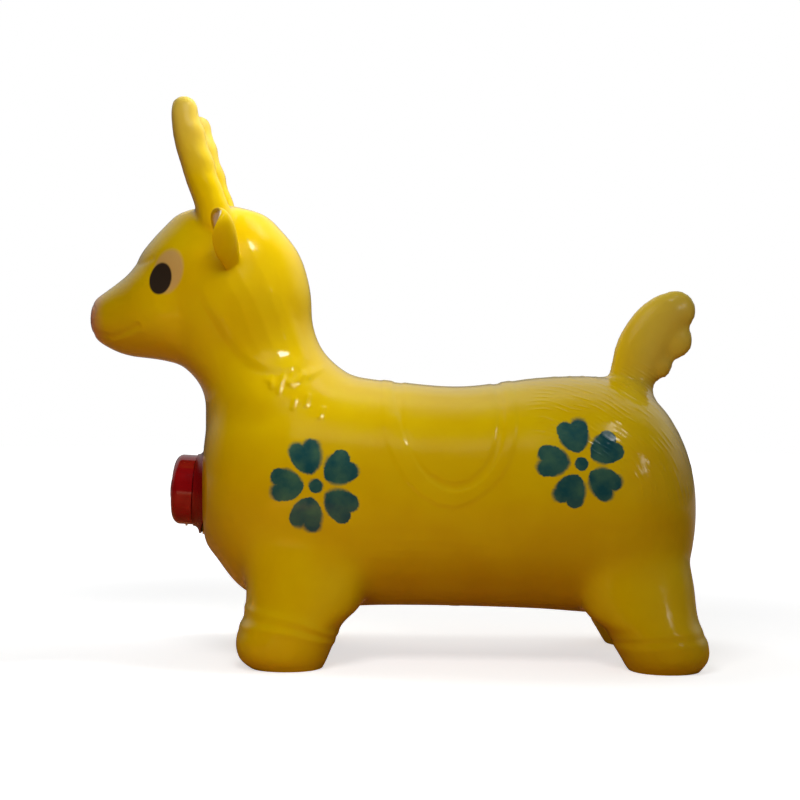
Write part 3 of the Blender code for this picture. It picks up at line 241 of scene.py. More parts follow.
MANE = mm(
    (-168, 362), (-179.5, 340.3), (-172.2, 322.3), (-163.1, 307.8), (-154, 293.4), (-142.9, 278.9),
    (-129.7, 268.9), (-113, 263.5), (-98.5, 261.8), (-84.4, 265.7), (-77.9, 276), (-86, 296.7),
    (-93.4, 315), (-100.5, 336.7), (-107, 356.7), (-112, 372))
MANE_STRANDS = (
    mm((-80.2, 281.8), (-86, 296.7), (-93.4, 315), (-100.5, 336.7), (-107, 356.7)),
    mm((-136.4, 389.2), (-132.2, 376), (-124.7, 361.4), (-117.3, 348.7), (-111.9, 337.9)),
    mm((-153, 347.8), (-146.6, 336.9), (-140.2, 326.1), (-134.9, 311.7), (-129.4, 295.4), (-120.1, 279.1)),
    mm((-140.5, 351.6), (-133.1, 339), (-125.9, 324.6), (-118.8, 306.6), (-111.4, 288.4), (-103.7, 273.7)),
    mm((-120.8, 344.9), (-113.6, 332.3), (-106.5, 316.1), (-101, 297.9), (-95, 279.5), (-91.7, 268.4)),
    mm((-163.8, 329.5), (-154.8, 313.3), (-144, 297.1), (-132.9, 282.6)),
)
TUFTS = (
    mm((-110, 258.9), (-110.4, 250.7)),
    mm((-100.2, 259.9), (-102.9, 246.3)),
    mm((-91.3, 261.9), (-93.5, 253.6)),
    mm((-82.5, 263.9), (-85.6, 256.4)),
    mm((-74.7, 266.8), (-76, 259.3)),
    mm((-76.7, 242.9), (-78.2, 234.8)),
    mm((-88.2, 239.2), (-89.7, 232)),
    mm((-62.8, 231.3), (-65.2, 224.2)),
)
HEM = mm((-114, 257), (-106, 251), (-99, 257.5), (-91, 252.5), (-84, 260), (-74, 262.5), (-66, 268))
MOUTH = mm((-290, 300.5), (-276, 299), (-269.5, 298.2), (-262.3, 296.3), (-255, 297.1), (-246.7, 300.7),
           (-239.4, 304.2), (-235.4, 306.9))
LOWER_LIP = mm((-262, 292.7), (-253.4, 294.4), (-244, 297), (-235.8, 300.6))
CHEEK = mm((-236.2, 310.5), (-231.5, 306.9), (-231, 301.5))
NOSTRIL = mm((-283, 327), (-279.5, 322), (-281, 316.5))
BROW = mm((-244, 367), (-238, 364), (-230, 365.7), (-223.7, 368.1))
HOOF_RIDGES = (
    mm((-145, 54), (-125.5, 52.1), (-99, 48.1), (-78.7, 43.4), (-59.8, 34.6), (-40, 27)),
    mm((-145, 38), (-126.3, 37.5), (-105.7, 36.1), (-84.6, 33.1), (-62.3, 26.5), (-40, 20)),
    mm((185, 27), (204.1, 30.7), (232.6, 34.9), (262.9, 36.5), (295, 38)),
    mm((185, 20), (214.6, 21.3), (239.4, 23.8), (262, 25), (295, 26)),
)
HOOF_GROOVES = (
    mm((-145, 45), (-118.9, 43.8), (-77.7, 37.6), (-59.3, 30.2), (-40, 24)),
    mm((185, 25), (214, 28), (240, 30), (262, 30.8), (295, 32)),
)

# What is moulded into the sides. Outlines: the outline, its rise, and how wide its edge is
SADDLE = ((SADDLE_OUTER, 0.0009, 0.003), (SADDLE_INNER, -0.0011, 0.002), (SADDLE_FIELD, 0.0009, 0.002))
MANE_RISE = 0.0019

# Lines: the lines, their rise, their half width, and whether they need the finest mesh
FOLDS = (
    (MANE_STRANDS, 0.00028, 0.0036, False),
    (TUFTS, 0.0009, 0.0024, True),
    ((HEM,), 0.0009, 0.0030, True),
    ((MOUTH,), -0.0006, 0.0026, True),
    ((LOWER_LIP,), 0.0005, 0.0032, False),
    ((CHEEK,), 0.0004, 0.0030, False),
    ((NOSTRIL,), -0.0005, 0.0016, True),
    (HOOF_RIDGES[:2], 0.0008, 0.0034, False),
    (HOOF_RIDGES[2:], 0.0003, 0.0036, False),
    (HOOF_GROOVES, -0.0003, 0.0026, False),
)
BROW_DEPTH = 0.0006
BROW_WIDTH = 0.0030
FINE_LINES = (BROW, *(line for lines, *_, fine in FOLDS if fine for line in lines))
LINES = (SADDLE_OUTER, SADDLE_INNER, SADDLE_FIELD, MANE, BROW,
         *(line for lines, *_ in FOLDS for line in lines))

# Knobs along the rear side of the horns: their spacing, and how far they stand out
KNOB_START = 0.4200
KNOB_PITCH = 0.0260
KNOB_RISE = 0.0013

# Fur combed over the rump in arcs: their middle, how flat they are, and the spacing of the strands
FUR_CENTRE = np.array((0.120, 0.135))
FUR_FLATNESS = 0.86
FUR_PITCH = 0.0037
FUR_RISE = 0.00032


def srgb(colour):
    """An sRGB hex colour as linear light."""
    channels = (int(colour[i:i + 2], 16) / 255 for i in (1, 3, 5))
    return (*(c / 12.92 if c <= 0.04045 else ((c + 0.055) / 1.055) ** 2.4 for c in channels), 1.0)


# ---- forms ----


def helper(form):
    """A hidden object that holds a form for one modelling step."""
    mesh = bpy.data.meshes.new("helper")
    form.to_mesh(mesh)
    form.free()
    obj = bpy.data.objects.new("helper", mesh)
    obj.hide_render = True
    bpy.context.scene.collection.objects.link(obj)
    return obj


def spent(obj):
    """The helper's finished form as a bmesh, with the helper removed."""
    graph = bpy.context.evaluated_depsgraph_get()
    form = bmesh.new()
    form.from_mesh(bpy.data.meshes.new_from_object(obj.evaluated_get(graph)))
    bpy.data.objects.remove(obj)
    return form


def combined(form, tool, operation):
    """One form cut by, or joined with, another."""
    first = helper(form)
    second = helper(tool)
    boolean = first.modifiers.new("form", "BOOLEAN")
    boolean.operation = operation
    boolean.object = second
    result = spent(first)
    bpy.data.objects.remove(second)
    return result


def tidy(form):
    bmesh.ops.remove_doubles(form, verts=form.verts, dist=1e-6)
    bmesh.ops.dissolve_degenerate(form, edges=form.edges, dist=1e-6)
    bmesh.ops.recalc_face_normals(form, faces=form.faces)
    return form


def together(*forms):
    """Forms held side by side in one bmesh."""
    whole = bmesh.new()
    for form in forms:
        mesh = bpy.data.meshes.new("side")
        form.to_mesh(mesh)
        form.free()
        whole.from_mesh(mesh)
        bpy.data.meshes.remove(mesh)
    return whole


def placed(form, matrix):
    bmesh.ops.transform(form, matrix=matrix, verts=form.verts)
    return form


def rod(radius, low, high, at=(0.0, 0.0), steps=FINE_ROUND):
    """A cylinder along Z."""
    form = bmesh.new()
    centre = Matrix.Translation((at[0], at[1], (low + high) / 2))
    bmesh.ops.create_cone(form, cap_ends=True, segments=steps, radius1=radius, radius2=radius,
                          depth=high - low, matrix=centre)
    return form


def turned(profile, steps=FINE_ROUND):
    """A closed form turned about Z from (radius, height) points."""
    form = bmesh.new()
    verts = [form.verts.new((radius, 0.0, height)) for radius, height in profile]
    edges = [form.edges.new(pair) for pair in zip(verts, verts[1:] + verts[:1])]
    bmesh.ops.spin(form, geom=verts + edges, cent=(0, 0, 0), axis=(0, 0, 1), angle=math.tau,
                   steps=steps, use_merge=True, use_duplicate=False)
    return tidy(form)


def block(low, high):
    """A box between two corners."""
    form = bmesh.new()
    low, high = Vector(low), Vector(high)
    size = Matrix.Diagonal((*(high - low), 1.0))
    bmesh.ops.create_cube(form, size=1.0, matrix=Matrix.Translation((low + high) / 2) @ size)
    return form


def arc(centre, radius, start, end, steps=FILLET_STEPS):
    """Points along an arc, angles in degrees."""
    angles = [math.radians(start + (end - start) * i / steps) for i in range(steps + 1)]
    return [(centre[0] + radius * math.cos(a), centre[1] + radius * math.sin(a)) for a in angles]


def swept(form):
    """The rim of the module, or of its seat, swept back round the sides of the chest."""
    for vert in form.verts:
        reach = max((vert.co.xy.length - COVER_RADIUS) / (FLANGE_RADIUS - COVER_RADIUS), 0.0)
        if vert.co.z > POCKET_FLOOR_U / 2:
            vert.co.z -= RIM_SWEEP * min(reach, 1.1) * (vert.co.y / FLANGE_RADIUS) ** 2
    return form


def spot(low, high):
    """The round seat of the module's rim, as a swept disc."""
    rings = [SPOT_RADIUS * share for share in (1.0, 0.96, 0.92, 0.88, 0.84, 0.80, 0.76)]
    return swept(turned([(0.0, low), *((r, low) for r in reversed(rings)), *((r, high) for r in rings),
                         (0.0, high)]))


def eased(stations, steps=SPAN_STEPS):
    """Stations with a smooth curve between them; a station at a tip turns the curve round."""
    def beyond(tip, inner):
        return [2 * t - n for t, n in zip(tip, inner)]

    rows = [beyond(stations[0], stations[1]), *stations, beyond(stations[-1], stations[-2])]
    result = []
    for a, b, c, d in zip(rows, rows[1:], rows[2:], rows[3:]):
        for index in range(steps):
            t = index / steps
            result.append([
                q + 0.5 * t * (r - p + t * (2 * p - 5 * q + 4 * r - s + t * (3 * (q - r) + s - p)))
                for p, q, r, s in zip(a, b, c, d)
            ])
    result.append(list(stations[-1]))
    return result


def loft(rings, fullness=2.2, points=RING_POINTS):
    """A closed form through rings, each a centre and its two half-axis vectors."""
    form = bmesh.new()
    loops = []
    for centre, across, up in rings:
        made = bmesh.ops.create_circle(form, cap_ends=False, segments=points, radius=1.0)["verts"]
        for vert in made:
            a, b = (math.copysign(abs(v) ** (2 / fullness), v) for v in vert.co.xy)
            vert.co = centre + across * a + up * b
        loops.append(list({edge for vert in made for edge in vert.link_edges}))
    for first, second in zip(loops, loops[1:]):
        bmesh.ops.bridge_loops(form, edges=first + second)
    bmesh.ops.holes_fill(form, edges=[edge for edge in form.edges if edge.is_boundary], sides=0)
    return tidy(form)


def upright_rings(stations):
    """Rings across X, for the trunk and the muzzle."""
    for x, low, high, half in eased(stations):
        half_height = max((high - low) / 2, TIP)
        yield Vector((x, 0, (low + high) / 2)), Vector((0, max(half, TIP), 0)), Vector((0, 0, half_height))


def neck_rings():
    for z, front, back, half in eased(NECK):
        half_length = max((back - front) / 2, TIP)
        yield Vector(((front + back) / 2, 0, z)), Vector((half_length, 0, 0)), Vector((0, max(half, TIP), 0))


def leg_rings(stations, side):
    for z, front, back, inner, outer in eased(stations):
        centre = Vector(((front + back) / 2, side * (inner + outer) / 2, z))
        yield centre, Vector(((back - front) / 2, 0, 0)), Vector((0, (outer - inner) / 2, 0))


def horn_rings(side):
    for x, y, z, radius in eased(HORN):
        radius = max(radius, TIP)
        yield Vector((x, side * y, z)), Vector((radius, 0, 0)), Vector((0, radius, 0))


def tail_rings():
    rows = eased(TAIL)
    for before, row, after in zip(rows[:1] + rows, rows, rows[1:] + rows[-1:]):
        x, z, half, thick = row
        along = Vector((after[0] - before[0], 0, after[1] - before[1])).normalized()
        across = along.cross(Vector((0, 1, 0)))
        yield Vector((x, 0, z)), across * max(half, TIP), Vector((0, max(thick, TIP), 0))


def ear(side):
    """A leaf-shaped flap, cupped towards the front and leaning out."""
    rows = eased(EAR, 2 * SPAN_STEPS)
    rings = [(Vector((x, y, z)), EAR_ACROSS * max(half, TIP), EAR_FACING * max(thick, TIP))
             for x, y, z, half, thick in rows]
    form = loft(rings, fullness=2.0, points=EAR_ROUND)
    spine = [Vector(row[:3]) for row in rows]
    widest = max(row[3] for row in EAR)
    for vert in form.verts:
        nearest = min(spine, key=lambda point: (vert.co - point).length)
        reach = (vert.co - nearest).dot(EAR_ACROSS) / widest
        vert.co += EAR_FACING * EAR_CUP * reach * reach
    if side < 0:
        bmesh.ops.scale(form, vec=(1, -1, 1), verts=form.verts)
        bmesh.ops.reverse_faces(form, faces=form.faces)
    return form


def lobe(x, z, radius, thick):
    form = bmesh.new()
    bmesh.ops.create_uvsphere(form, u_segments=EAR_ROUND, v_segments=EAR_ROUND // 2, radius=1.0)
    return placed(form, Matrix.Translation((x, 0, z)) @ Matrix.Diagonal((radius, thick, radius, 1.0)))


def blended(form, voxel, passes):
    """Overlapping forms made one skin, with the joins between them eased."""
    obj = helper(form)
    remesh = obj.modifiers.new("one skin", "REMESH")
    remesh.mode = "VOXEL"
    remesh.voxel_size = voxel
    smooth = obj.modifiers.new("eased joins", "SMOOTH")
    smooth.factor = 0.5
    smooth.iterations = passes
    return spent(obj)


def thinned(form, most):
    """The form with fewer triangles where it curves least."""
    obj = helper(form)
    thin = obj.modifiers.new("thinned", "DECIMATE")
    thin.ratio = min(most / sum(len(face.vertices) - 2 for face in obj.data.polygons), 1.0)
    return spent(obj)


def ease(form, verts, passes, axes="XYZ"):
    """Some of a form's vertices, smoothed along the named axes."""
    for _ in range(passes):
        bmesh.ops.smooth_vert(form, verts=verts, factor=0.5, use_axis_x="X" in axes,
                              use_axis_y="Y" in axes, use_axis_z="Z" in axes)


def ease_joins(form):
    """The legs run into the flanks in one sweep, and so does the root of the tail."""
    for shrink in (0.0, 0.004, 0.008, 0.012):
        low, high, out = THIGH_ZONE
        thighs = [vert for vert in form.verts
                  if low + shrink < vert.co.z < high - shrink and abs(vert.co.y) > out + shrink]
        low, high, back = TAIL_ROOT_ZONE
        root = [vert for vert in form.verts
                if low + shrink < vert.co.z < high - shrink and vert.co.x > back + shrink]
        ease(form, thighs, JOIN_PASSES, "Y")
        ease(form, root, JOIN_PASSES // 2)


def keep_above(form, height):
    """The part of a form above a level, closed by a flat face."""
    geom = form.verts[:] + form.edges[:] + form.faces[:]
    bmesh.ops.bisect_plane(form, geom=geom, plane_co=(0, 0, height), plane_no=(0, 0, -1), clear_outer=True)
    bmesh.ops.holes_fill(form, edges=[edge for edge in form.edges if edge.is_boundary], sides=0)
    return form


# ---- relief ----


def places(form):
    form.verts.ensure_lookup_table()
    return np.array([vert.co[:] for vert in form.verts])


def distance(points, line):
    """How far each point lies from a line of straight spans."""
    best = np.full(len(points), np.inf)
    for start, end in zip(line, line[1:]):
        span = end - start
        t = np.clip((points - start) @ span / (span @ span), 0, 1)
        best = np.minimum(best, np.linalg.norm(points - start - t[:, None] * span, axis=1))
    return best


def depth_inside(points, outline):
    """The distance to a closed outline, above zero inside it."""
    closed = np.vstack([outline, outline[:1]])
    inside = np.zeros(len(points), bool)
    for (x0, z0), (x1, z1) in zip(closed, closed[1:]):
        if z0 != z1:
            crosses = (points[:, 1] > z0) != (points[:, 1] > z1)
            inside ^= crosses & (points[:, 0] < x0 + (points[:, 1] - z0) * (x1 - x0) / (z1 - z0))
    return np.where(inside, 1, -1) * distance(points, closed)


def step(value, low, high):
    """0 below low, 1 above high, and a smooth rise between them."""
    t = np.clip((value - low) / (high - low), 0, 1)
    return t * t * (3 - 2 * t)


def ridge(points, line, width):
    return np.exp(-(distance(points, line) / width) ** 2)


def fur_mask(co):
    """Where the combed fur lies: from behind the saddle down to the thigh."""
    offset = co[:, [0, 2]] - FUR_CENTRE
    reach = np.hypot(offset[:, 0] * FUR_FLATNESS, offset[:, 1])
    mask = step(co[:, 0], 0.117, 0.135) * step(reach, 0.066, 0.085) * step(co[:, 2], 0.140, 0.165)
    return mask * step(co[:, 2], 0.290, 0.270), reach


def fur(co):
    """Strands in broken, wavy arcs."""
    mask, reach = fur_mask(co)
    height = np.zeros(len(co))
    for i in np.nonzero(mask)[0]:
        x, y, z = co[i]
        turn = math.atan2(z - FUR_CENTRE[1], (x - FUR_CENTRE[0]) * FUR_FLATNESS)
        wave = noise.noise((turn * 6, reach[i] * 30, 3.0 + (y > 0)))
        row = reach[i] / FUR_PITCH + 0.5 * wave
        broken = noise.noise((turn * 8, math.floor(row) * 5.3, 9.0 + (y > 0)))
        height[i] = (0.5 - 0.5 * math.cos(math.tau * row)) ** 3 * min(max(0.35 + 2.2 * broken, 0.0), 1.0)
    return FUR_RISE * mask * height


def relief(co, normals):
    """How far the moulded relief stands out at each place."""
    side = co[:, [0, 2]]
    height = np.zeros(len(co))
    for outline, rise, edge in SADDLE:
        height += rise * step(depth_inside(side, outline), -0.002, edge)
    for lines, rise, width, _ in FOLDS:
        for line in lines:
            height += rise * ridge(side, line, width)

    # The mane hangs over the neck and fades into the crown; the brow is faint in the middle
    hanging = step(co[:, 2], 0.368, 0.312)
    height += MANE_RISE * hanging * step(depth_inside(side, MANE), -0.003, 0.007)
    aside = 0.4 + 0.6 * step(np.abs(co[:, 1]), 0.010, 0.032)
    height -= BROW_DEPTH * aside * ridge(side, BROW, BROW_WIDTH)

    # Knobs on the rear side of the horns
    along = (co[:, 2] - KNOB_START) / KNOB_PITCH
    knob = np.sin(math.pi * along) ** 2 * step(co[:, 2], KNOB_START, KNOB_START + KNOB_PITCH)
    height += KNOB_RISE * knob * step(normals[:, 0], -0.3, 0.8)
    return height + fur(co)


def ear_lining(co):
    """1 on the painted inside of the ears, by how deep a place lies in their cup."""
    rows = np.array(eased(EAR, 2 * SPAN_STEPS))
    inside = np.zeros(len(co))
    for i in np.nonzero((np.abs(co[:, 1]) > 0.0655) & (co[:, 2] > 0.36) & (co[:, 0] > -0.185))[0]:
        place = np.array((co[i, 0], abs(co[i, 1]), co[i, 2]))
        gaps = np.linalg.norm(rows[:, :3] - place, axis=1)
        row = rows[np.argmin(gaps)]
        offset = Vector(place - row[:3])
        reach = offset.dot(EAR_ACROSS) / max(row[3], TIP)
        depth = offset.dot(EAR_FACING) - EAR_CUP * (offset.dot(EAR_ACROSS) / EAR[2][3]) ** 2
        if gaps.min() < 0.022 and depth > 0.2 * row[4]:
            inside[i] = min(max((0.95 - abs(reach)) / 0.2, 0.0), 1.0)
    return inside


def refine(form, wanted):
    """Each edge whose two ends are wanted is cut in two, and the new faces are eased."""
    keep = wanted(places(form))
    chosen = [edge for edge in form.edges if keep[edge.verts[0].index] and keep[edge.verts[1].index]]
    bmesh.ops.subdivide_edges(form, edges=chosen, cuts=1, use_grid_fill=True)
    keep = wanted(places(form))
    ease(form, [vert for vert in form.verts if keep[vert.index]], passes=3)
    return form


def near(co, lines, reach):
    """Where the skin carries fur, or lies close to one of the lines."""
    close = fur_mask(co)[0] > 0
    for line in lines:
        close |= distance(co[:, [0, 2]], line) < reach
    return close


def near_relief(co):
    """Where the skin has relief, a horn or the tail."""
    tail = (co[:, 0] > 0.205) & (co[:, 2] > 0.235)
    return near(co, LINES, 0.0075) | (co[:, 2] > 0.415) | tail


def near_fine_relief(co):
    return near(co, FINE_LINES, 0.0045)


def goat_skin():
    """The moulded skin with its relief, and the seats of the module and the valve."""
    legs = [loft(leg_rings(stations, side)) for stations in (FRONT_LEG, REAR_LEG) for side in (-1, 1)]
    body = together(loft(upright_rings(TRUNK)), loft(neck_rings()), loft(upright_rings(MUZZLE)), *legs)
    body = blended(body, BODY_VOXEL, passes=12)
    horns = [loft(horn_rings(side), fullness=2.0) for side in (-1, 1)]
    tail = [loft(tail_rings()), *(lobe(*row) for row in TAIL_LOBES)]
    form = blended(together(body, *horns, *tail), SKIN_VOXEL, passes=7)
    ease_joins(form)
    form = refine(form, near_relief)
    form = refine(form, near_fine_relief)
    ease(form, [vert for vert in form.verts if vert.co.z > HORN_END_Z], passes=12)
    form.normal_update()
    co = places(form)
    normals = np.array([vert.normal[:] for vert in form.verts])
    for vert, rise in zip(form.verts, relief(co, normals)):
        vert.co += vert.normal * rise
    form = combined(form, placed(spot(POCKET_FLOOR_U, 0.0), MODULE_FRAME), "UNION")

    parts = together(ear(-1), ear(1))
    skin, flaps = BVHTree.FromBMesh(form), BVHTree.FromBMesh(parts)
    form = combined(form, parts, "UNION")
    join = [vert for vert in form.verts
            if skin.find_nearest(vert.co, 0.003)[0] and flaps.find_nearest(vert.co, 0.003)[0]]
    ease(form, join, passes=6)

    low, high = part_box("valve_insert")
    valve_x, seat_z = (low.x + high.x) / 2, high.z - VALVE_TUBE_LENGTH
    chest = combined(spot(0.0, SPOT_DEPTH), rod(POCKET_RADIUS, POCKET_FLOOR_U, 2 * OVER), "UNION")
    recess = rod(VALVE_RECESS_RADIUS, 0.0, seat_z, (valve_x, 0.0))
    bore = rod(VALVE_BORE_RADIUS, seat_z - OVER, seat_z + VALVE_TUBE_LENGTH, (valve_x, 0.0))
    belly = combined(recess, bore, "UNION")
    form = combined(form, together(placed(chest, MODULE_FRAME), belly), "DIFFERENCE")
    form = thinned(keep_above(form, 0.0), SKIN_TRIANGLES)
    layer = form.verts.layers.float.new("ear_lining")
    for vert, inside in zip(form.verts, ear_lining(places(form))):
        vert[layer] = inside
    return form


def seal_form():
    """The flat ring of foam behind the rim."""
    inner, outer = SEAL_RADII
    rings = [inner + (outer - inner) * share for share in (0.0, 0.25, 0.5, 0.75, 1.0)]
    top = SEAM + SEAL_THICKNESS
    return swept(turned([*((r, SEAM) for r in rings), *((r, top) for r in reversed(rings))]))


def housing_form():
    """The cup with its swept rim, battery box, speaker seat and posts."""
    turns = (math.pi / 2 * i / FILLET_STEPS for i in range(FILLET_STEPS + 1))
    flare = [(FLANGE_RADIUS - FLARE[0] * math.sin(a), RIM_U - FLARE[1] * math.cos(a)) for a in turns]
    rim_radius = FLANGE_RADIUS - FLANGE_EDGE
    rim = [(HOUSING_RADIUS + (rim_radius - HOUSING_RADIUS) * i / 6, FLANGE_BACK_U) for i in range(6)]
    edge = arc((rim_radius, FLANGE_BACK_U + FLANGE_EDGE), FLANGE_EDGE, -90, 0, 4)
    foot = arc((HOUSING_RADIUS - CUP_FOOT, HOUSING_BACK_U + CUP_FOOT), CUP_FOOT, -90, 0, 4)
    floor_u = HOUSING_BACK_U + CUP_FLOOR
    cup = turned([(0.0, HOUSING_BACK_U), *foot, *rim, *edge, *flare, (HOUSING_RADIUS - SEAM, RIM_U),
                  (HOUSING_RADIUS - SEAM, RIM_U + CUP_COLLAR), (BAY_RADIUS, RIM_U + CUP_COLLAR),
                  (BAY_RADIUS, floor_u), (0.0, floor_u)])
    wide, long = BOX_OUTSIDE
    box = combined(block((-wide, -long, floor_u - OVER), (wide, long, BAY_FLOOR_U)),
                   rod(BAY_RADIUS + OVER, HOUSING_BACK_U, RIM_U), "INTERSECT")
    form = combined(combined(swept(cup), box, "UNION"), turned(SPEAKER_SEAT), "UNION")
    seat_u = SPEAKER_SEAT[0][1]
    low = HOUSING_BACK_U - OVER
    posts = [rod(SCREW_POST_RADIUS, HOUSING_BACK_U + OVER, POST_TOP_U, at, SMALL_ROUND)
             for at in SCREW_PLACES]
    posts += [rod(BOARD_POST_RADIUS, seat_u, BOARD_BOTTOM_U - SEAM, at, SMALL_ROUND)
              for at in BOARD_SCREW_PLACES]
    door = combined(block((-DOOR_HALF_WIDTH, BOX_LOW.y - DOOR_EDGE, low),
                          (DOOR_HALF_WIDTH, BOX_HIGH.y + DOOR_EDGE, DOOR_FACE_U)),
                    rod(DOOR_LUG_RADIUS, low, DOOR_FACE_U, (0.0, DOOR_SCREW_Y), SMALL_ROUND), "UNION")
    tools = [door, block(BOX_LOW, BOX_HIGH),
             rod(SCREW_HOLE, DOOR_FACE_U - OVER, DOOR_FACE_U + DOOR_SCREW_DEPTH, (0.0, DOOR_SCREW_Y),
                 SMALL_ROUND)]
    for at in SCREW_PLACES:
        tools += [rod(SCREW_WELL, low, SCREW_SEAT_U, at, SMALL_ROUND),
                  rod(SCREW_HOLE, SCREW_SEAT_U - OVER, POST_TOP_U + OVER, at, SMALL_ROUND)]
    tools += [rod(SCREW_HOLE, BOARD_BOTTOM_U - BOARD_SCREW_DEPTH, BOARD_BOTTOM_U, at, SMALL_ROUND)
              for at in BOARD_SCREW_PLACES]
    for post in posts:
        form = combined(form, post, "UNION")
    for tool in tools:
        form = combined(form, tool, "DIFFERENCE")
    return form


def cover_form():
    """The domed cap with its sound slots, screw bosses, switch slot and switch cradle."""
    fillet, wall, hole = COVER_FILLET, COVER_RADIUS - HOUSING_RADIUS, BUTTON_RADIUS + BUTTON_GAP
    face = [(hole + (COVER_RADIUS - fillet - hole) * share, COVER_TOP_U) for share in (0.8, 0.6, 0.4, 0.2)]
    outside = arc((COVER_RADIUS - fillet, COVER_TOP_U - fillet), fillet, 0, 90)
    inside = arc((HOUSING_RADIUS - fillet + wall, COVER_INSIDE_U - fillet + wall), fillet - wall, 90, 0)
    form = turned([(COVER_RADIUS, COVER_FOOT_U), *outside, *face, (hole, COVER_TOP_U),
                   (hole, COVER_INSIDE_U), *((r, COVER_INSIDE_U) for r, _ in reversed(face)), *inside,
                   (HOUSING_RADIUS, COVER_FOOT_U)])
    for vert in form.verts:
        rise = min(max((vert.co.z - DOME_START_U) / (COVER_TOP_U - DOME_START_U), 0.0), 1.0)
        vert.co.z -= COVER_DOME * rise * (vert.co.xy.length / COVER_RADIUS) ** 2
    for at in SCREW_PLACES:
        boss = rod(COVER_BOSS_RADIUS, POST_TOP_U + SEAM, COVER_INSIDE_U - OVER, at, SMALL_ROUND)
        form = combined(form, boss, "UNION")
    inner, outer, half, reach = CRADLE
    for low, high in ((-outer, -inner), (inner, outer)):
        form = combined(form, block((-HOUSING_RADIUS - OVER / 2, low, POWER_U - half),
                                    (-reach, high, POWER_U + half)), "UNION")
    for at in SCREW_PLACES:
        bore = rod(SCREW_HOLE, POST_TOP_U, SCREW_SEAT_U + COVER_SCREW_DEPTH, at, SMALL_ROUND)
        form = combined(form, bore, "DIFFERENCE")
    low, high = COVER_INSIDE_U - 4 * OVER, COVER_TOP_U + OVER
    for index in range(SOUND_SLOTS):
        slot = block((SLOT_REACH[0], -SLOT_HALF, low), (SLOT_REACH[1], SLOT_HALF, high))
        ends = together(*(rod(SLOT_HALF, low, high, (reach, 0.0), 24) for reach in SLOT_REACH))
        turn = Matrix.Rotation(math.tau * (index + 0.5) / SOUND_SLOTS, 4, "Z")
        form = combined(form, placed(combined(slot, ends, "UNION"), turn), "DIFFERENCE")
    wide, tall = SWITCH_SLOT
    return combined(form, block((-COVER_RADIUS - OVER, -wide, POWER_U - tall),
                                (2 * OVER - HOUSING_RADIUS, wide, POWER_U + tall)), "DIFFERENCE")


def button_form():
    """The push button: a shallow dish for the finger, a skirt, a flange and a stem."""
    top = COVER_TOP_U + BUTTON_RISE
    shoulder = arc((BUTTON_RADIUS - BUTTON_RISE, top - BUTTON_RISE), BUTTON_RISE, 0, 90, 6)
    dish = [(BUTTON_RADIUS - BUTTON_RISE - DISH_RADIUS * i / 8,
             top - DISH_DEPTH * math.sin(math.pi / 2 * i / 8) ** 2) for i in range(1, 9)]
    return turned([*BUTTON_BACK, *shoulder, *dish])


def valve_form():
    """The grommet in the belly, made with its flange's upper face at z = 0."""
    flange = arc((0.0090, -0.0010), 0.0005, -90, 0, 4)
    return turned([*mm((3.8, 0), (3.8, -1.1), (4.2, -1.5)), *flange, (0.0095, 0.0), (0.0050, 0.0),
                   (0.0050, VALVE_TUBE_LENGTH), (0.0038, VALVE_TUBE_LENGTH)], VALVE_ROUND)


def plug_form():
    """The ribbed air plug, made with its head's upper face at z = 0."""
    crest, root, pitch = 0.0035, 0.0031, 0.00275
    head = arc((0.0070, -0.0010), 0.0010, -90, 0, 5)
    ribs = []
    for index in (1, 2, 3):
        ribs += [(root, pitch * index), (crest, pitch * index), (root, pitch * (index + 0.5))]
    return turned([(0.0, -0.0020), *head, (0.0080, 0.0), (root, 0.0), *ribs, (root * 0.8, PLUG_LENGTH),
                   (0.0, PLUG_LENGTH)], VALVE_ROUND)


def finished(name, form, finish, body):
    """One named piece with its finish, riding on its body."""
    mesh = bpy.data.meshes.new(name)
    bmesh.ops.triangulate(form, faces=[face for face in form.faces if len(face.verts) > 4])
    form.to_mesh(mesh)
    form.free()
    mesh.materials.clear()
    mesh.materials.append(finish)
    mesh.shade_smooth()
    mesh.set_sharp_from_angle(angle=math.radians(40))
    obj = bpy.data.objects.new(name, mesh)
    bpy.context.scene.collection.objects.link(obj)
    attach(obj, body)
    return obj


# ---- finishes ----

SMOOTH = {"interpolation_type": "SMOOTHSTEP"}


def add(tree, kind, inputs=None, **settings):
    """A node with its settings; each input is a value or another node's output."""
    node = tree.nodes.new("ShaderNode" + kind)
    for key, value in settings.items():
        setattr(node, key, value)
    for key, value in (inputs or {}).items():
        if isinstance(value, bpy.types.NodeSocket):
            tree.links.new(value, node.inputs[key])
        else:
            node.inputs[key].default_value = value
    return node


def surface(name, **values):
    """A material with a Principled shader, its tree and that shader."""
    made = bpy.data.materials.new(name)
    made.use_nodes = True
    shader = made.node_tree.nodes["Principled BSDF"]
    for key, value in values.items():
        shader.inputs[key.replace("_", " ")].default_value = value
    return made, made.node_tree, shader


def laid_out(tree, x, z, centre, size, turn):
    """A place on the side, as seen in a turned and sized frame, and how far it is from the middle."""
    place = add(tree, "CombineXYZ", {0: x, 1: z}).outputs[0]
    place = add(tree, "Mapping", {0: place, 1: (*centre, 0.0), 2: (0.0, 0.0, turn), 3: (*size, 1.0)},
                vector_type="TEXTURE").outputs[0]
    return place, add(tree, "VectorMath", {0: place}, operation="LENGTH").outputs["Value"]


def oval(tree, x, z, centre, half, turn, edge):
    """1 inside a turned oval and 0 outside it, with an edge of the given share."""
    _, reach = laid_out(tree, x, z, centre, half, turn)
    return add(tree, "MapRange", {0: reach, 1: 1 - edge, 2: 1 + edge, 3: 1.0, 4: 0.0}, **SMOOTH).outputs[0]


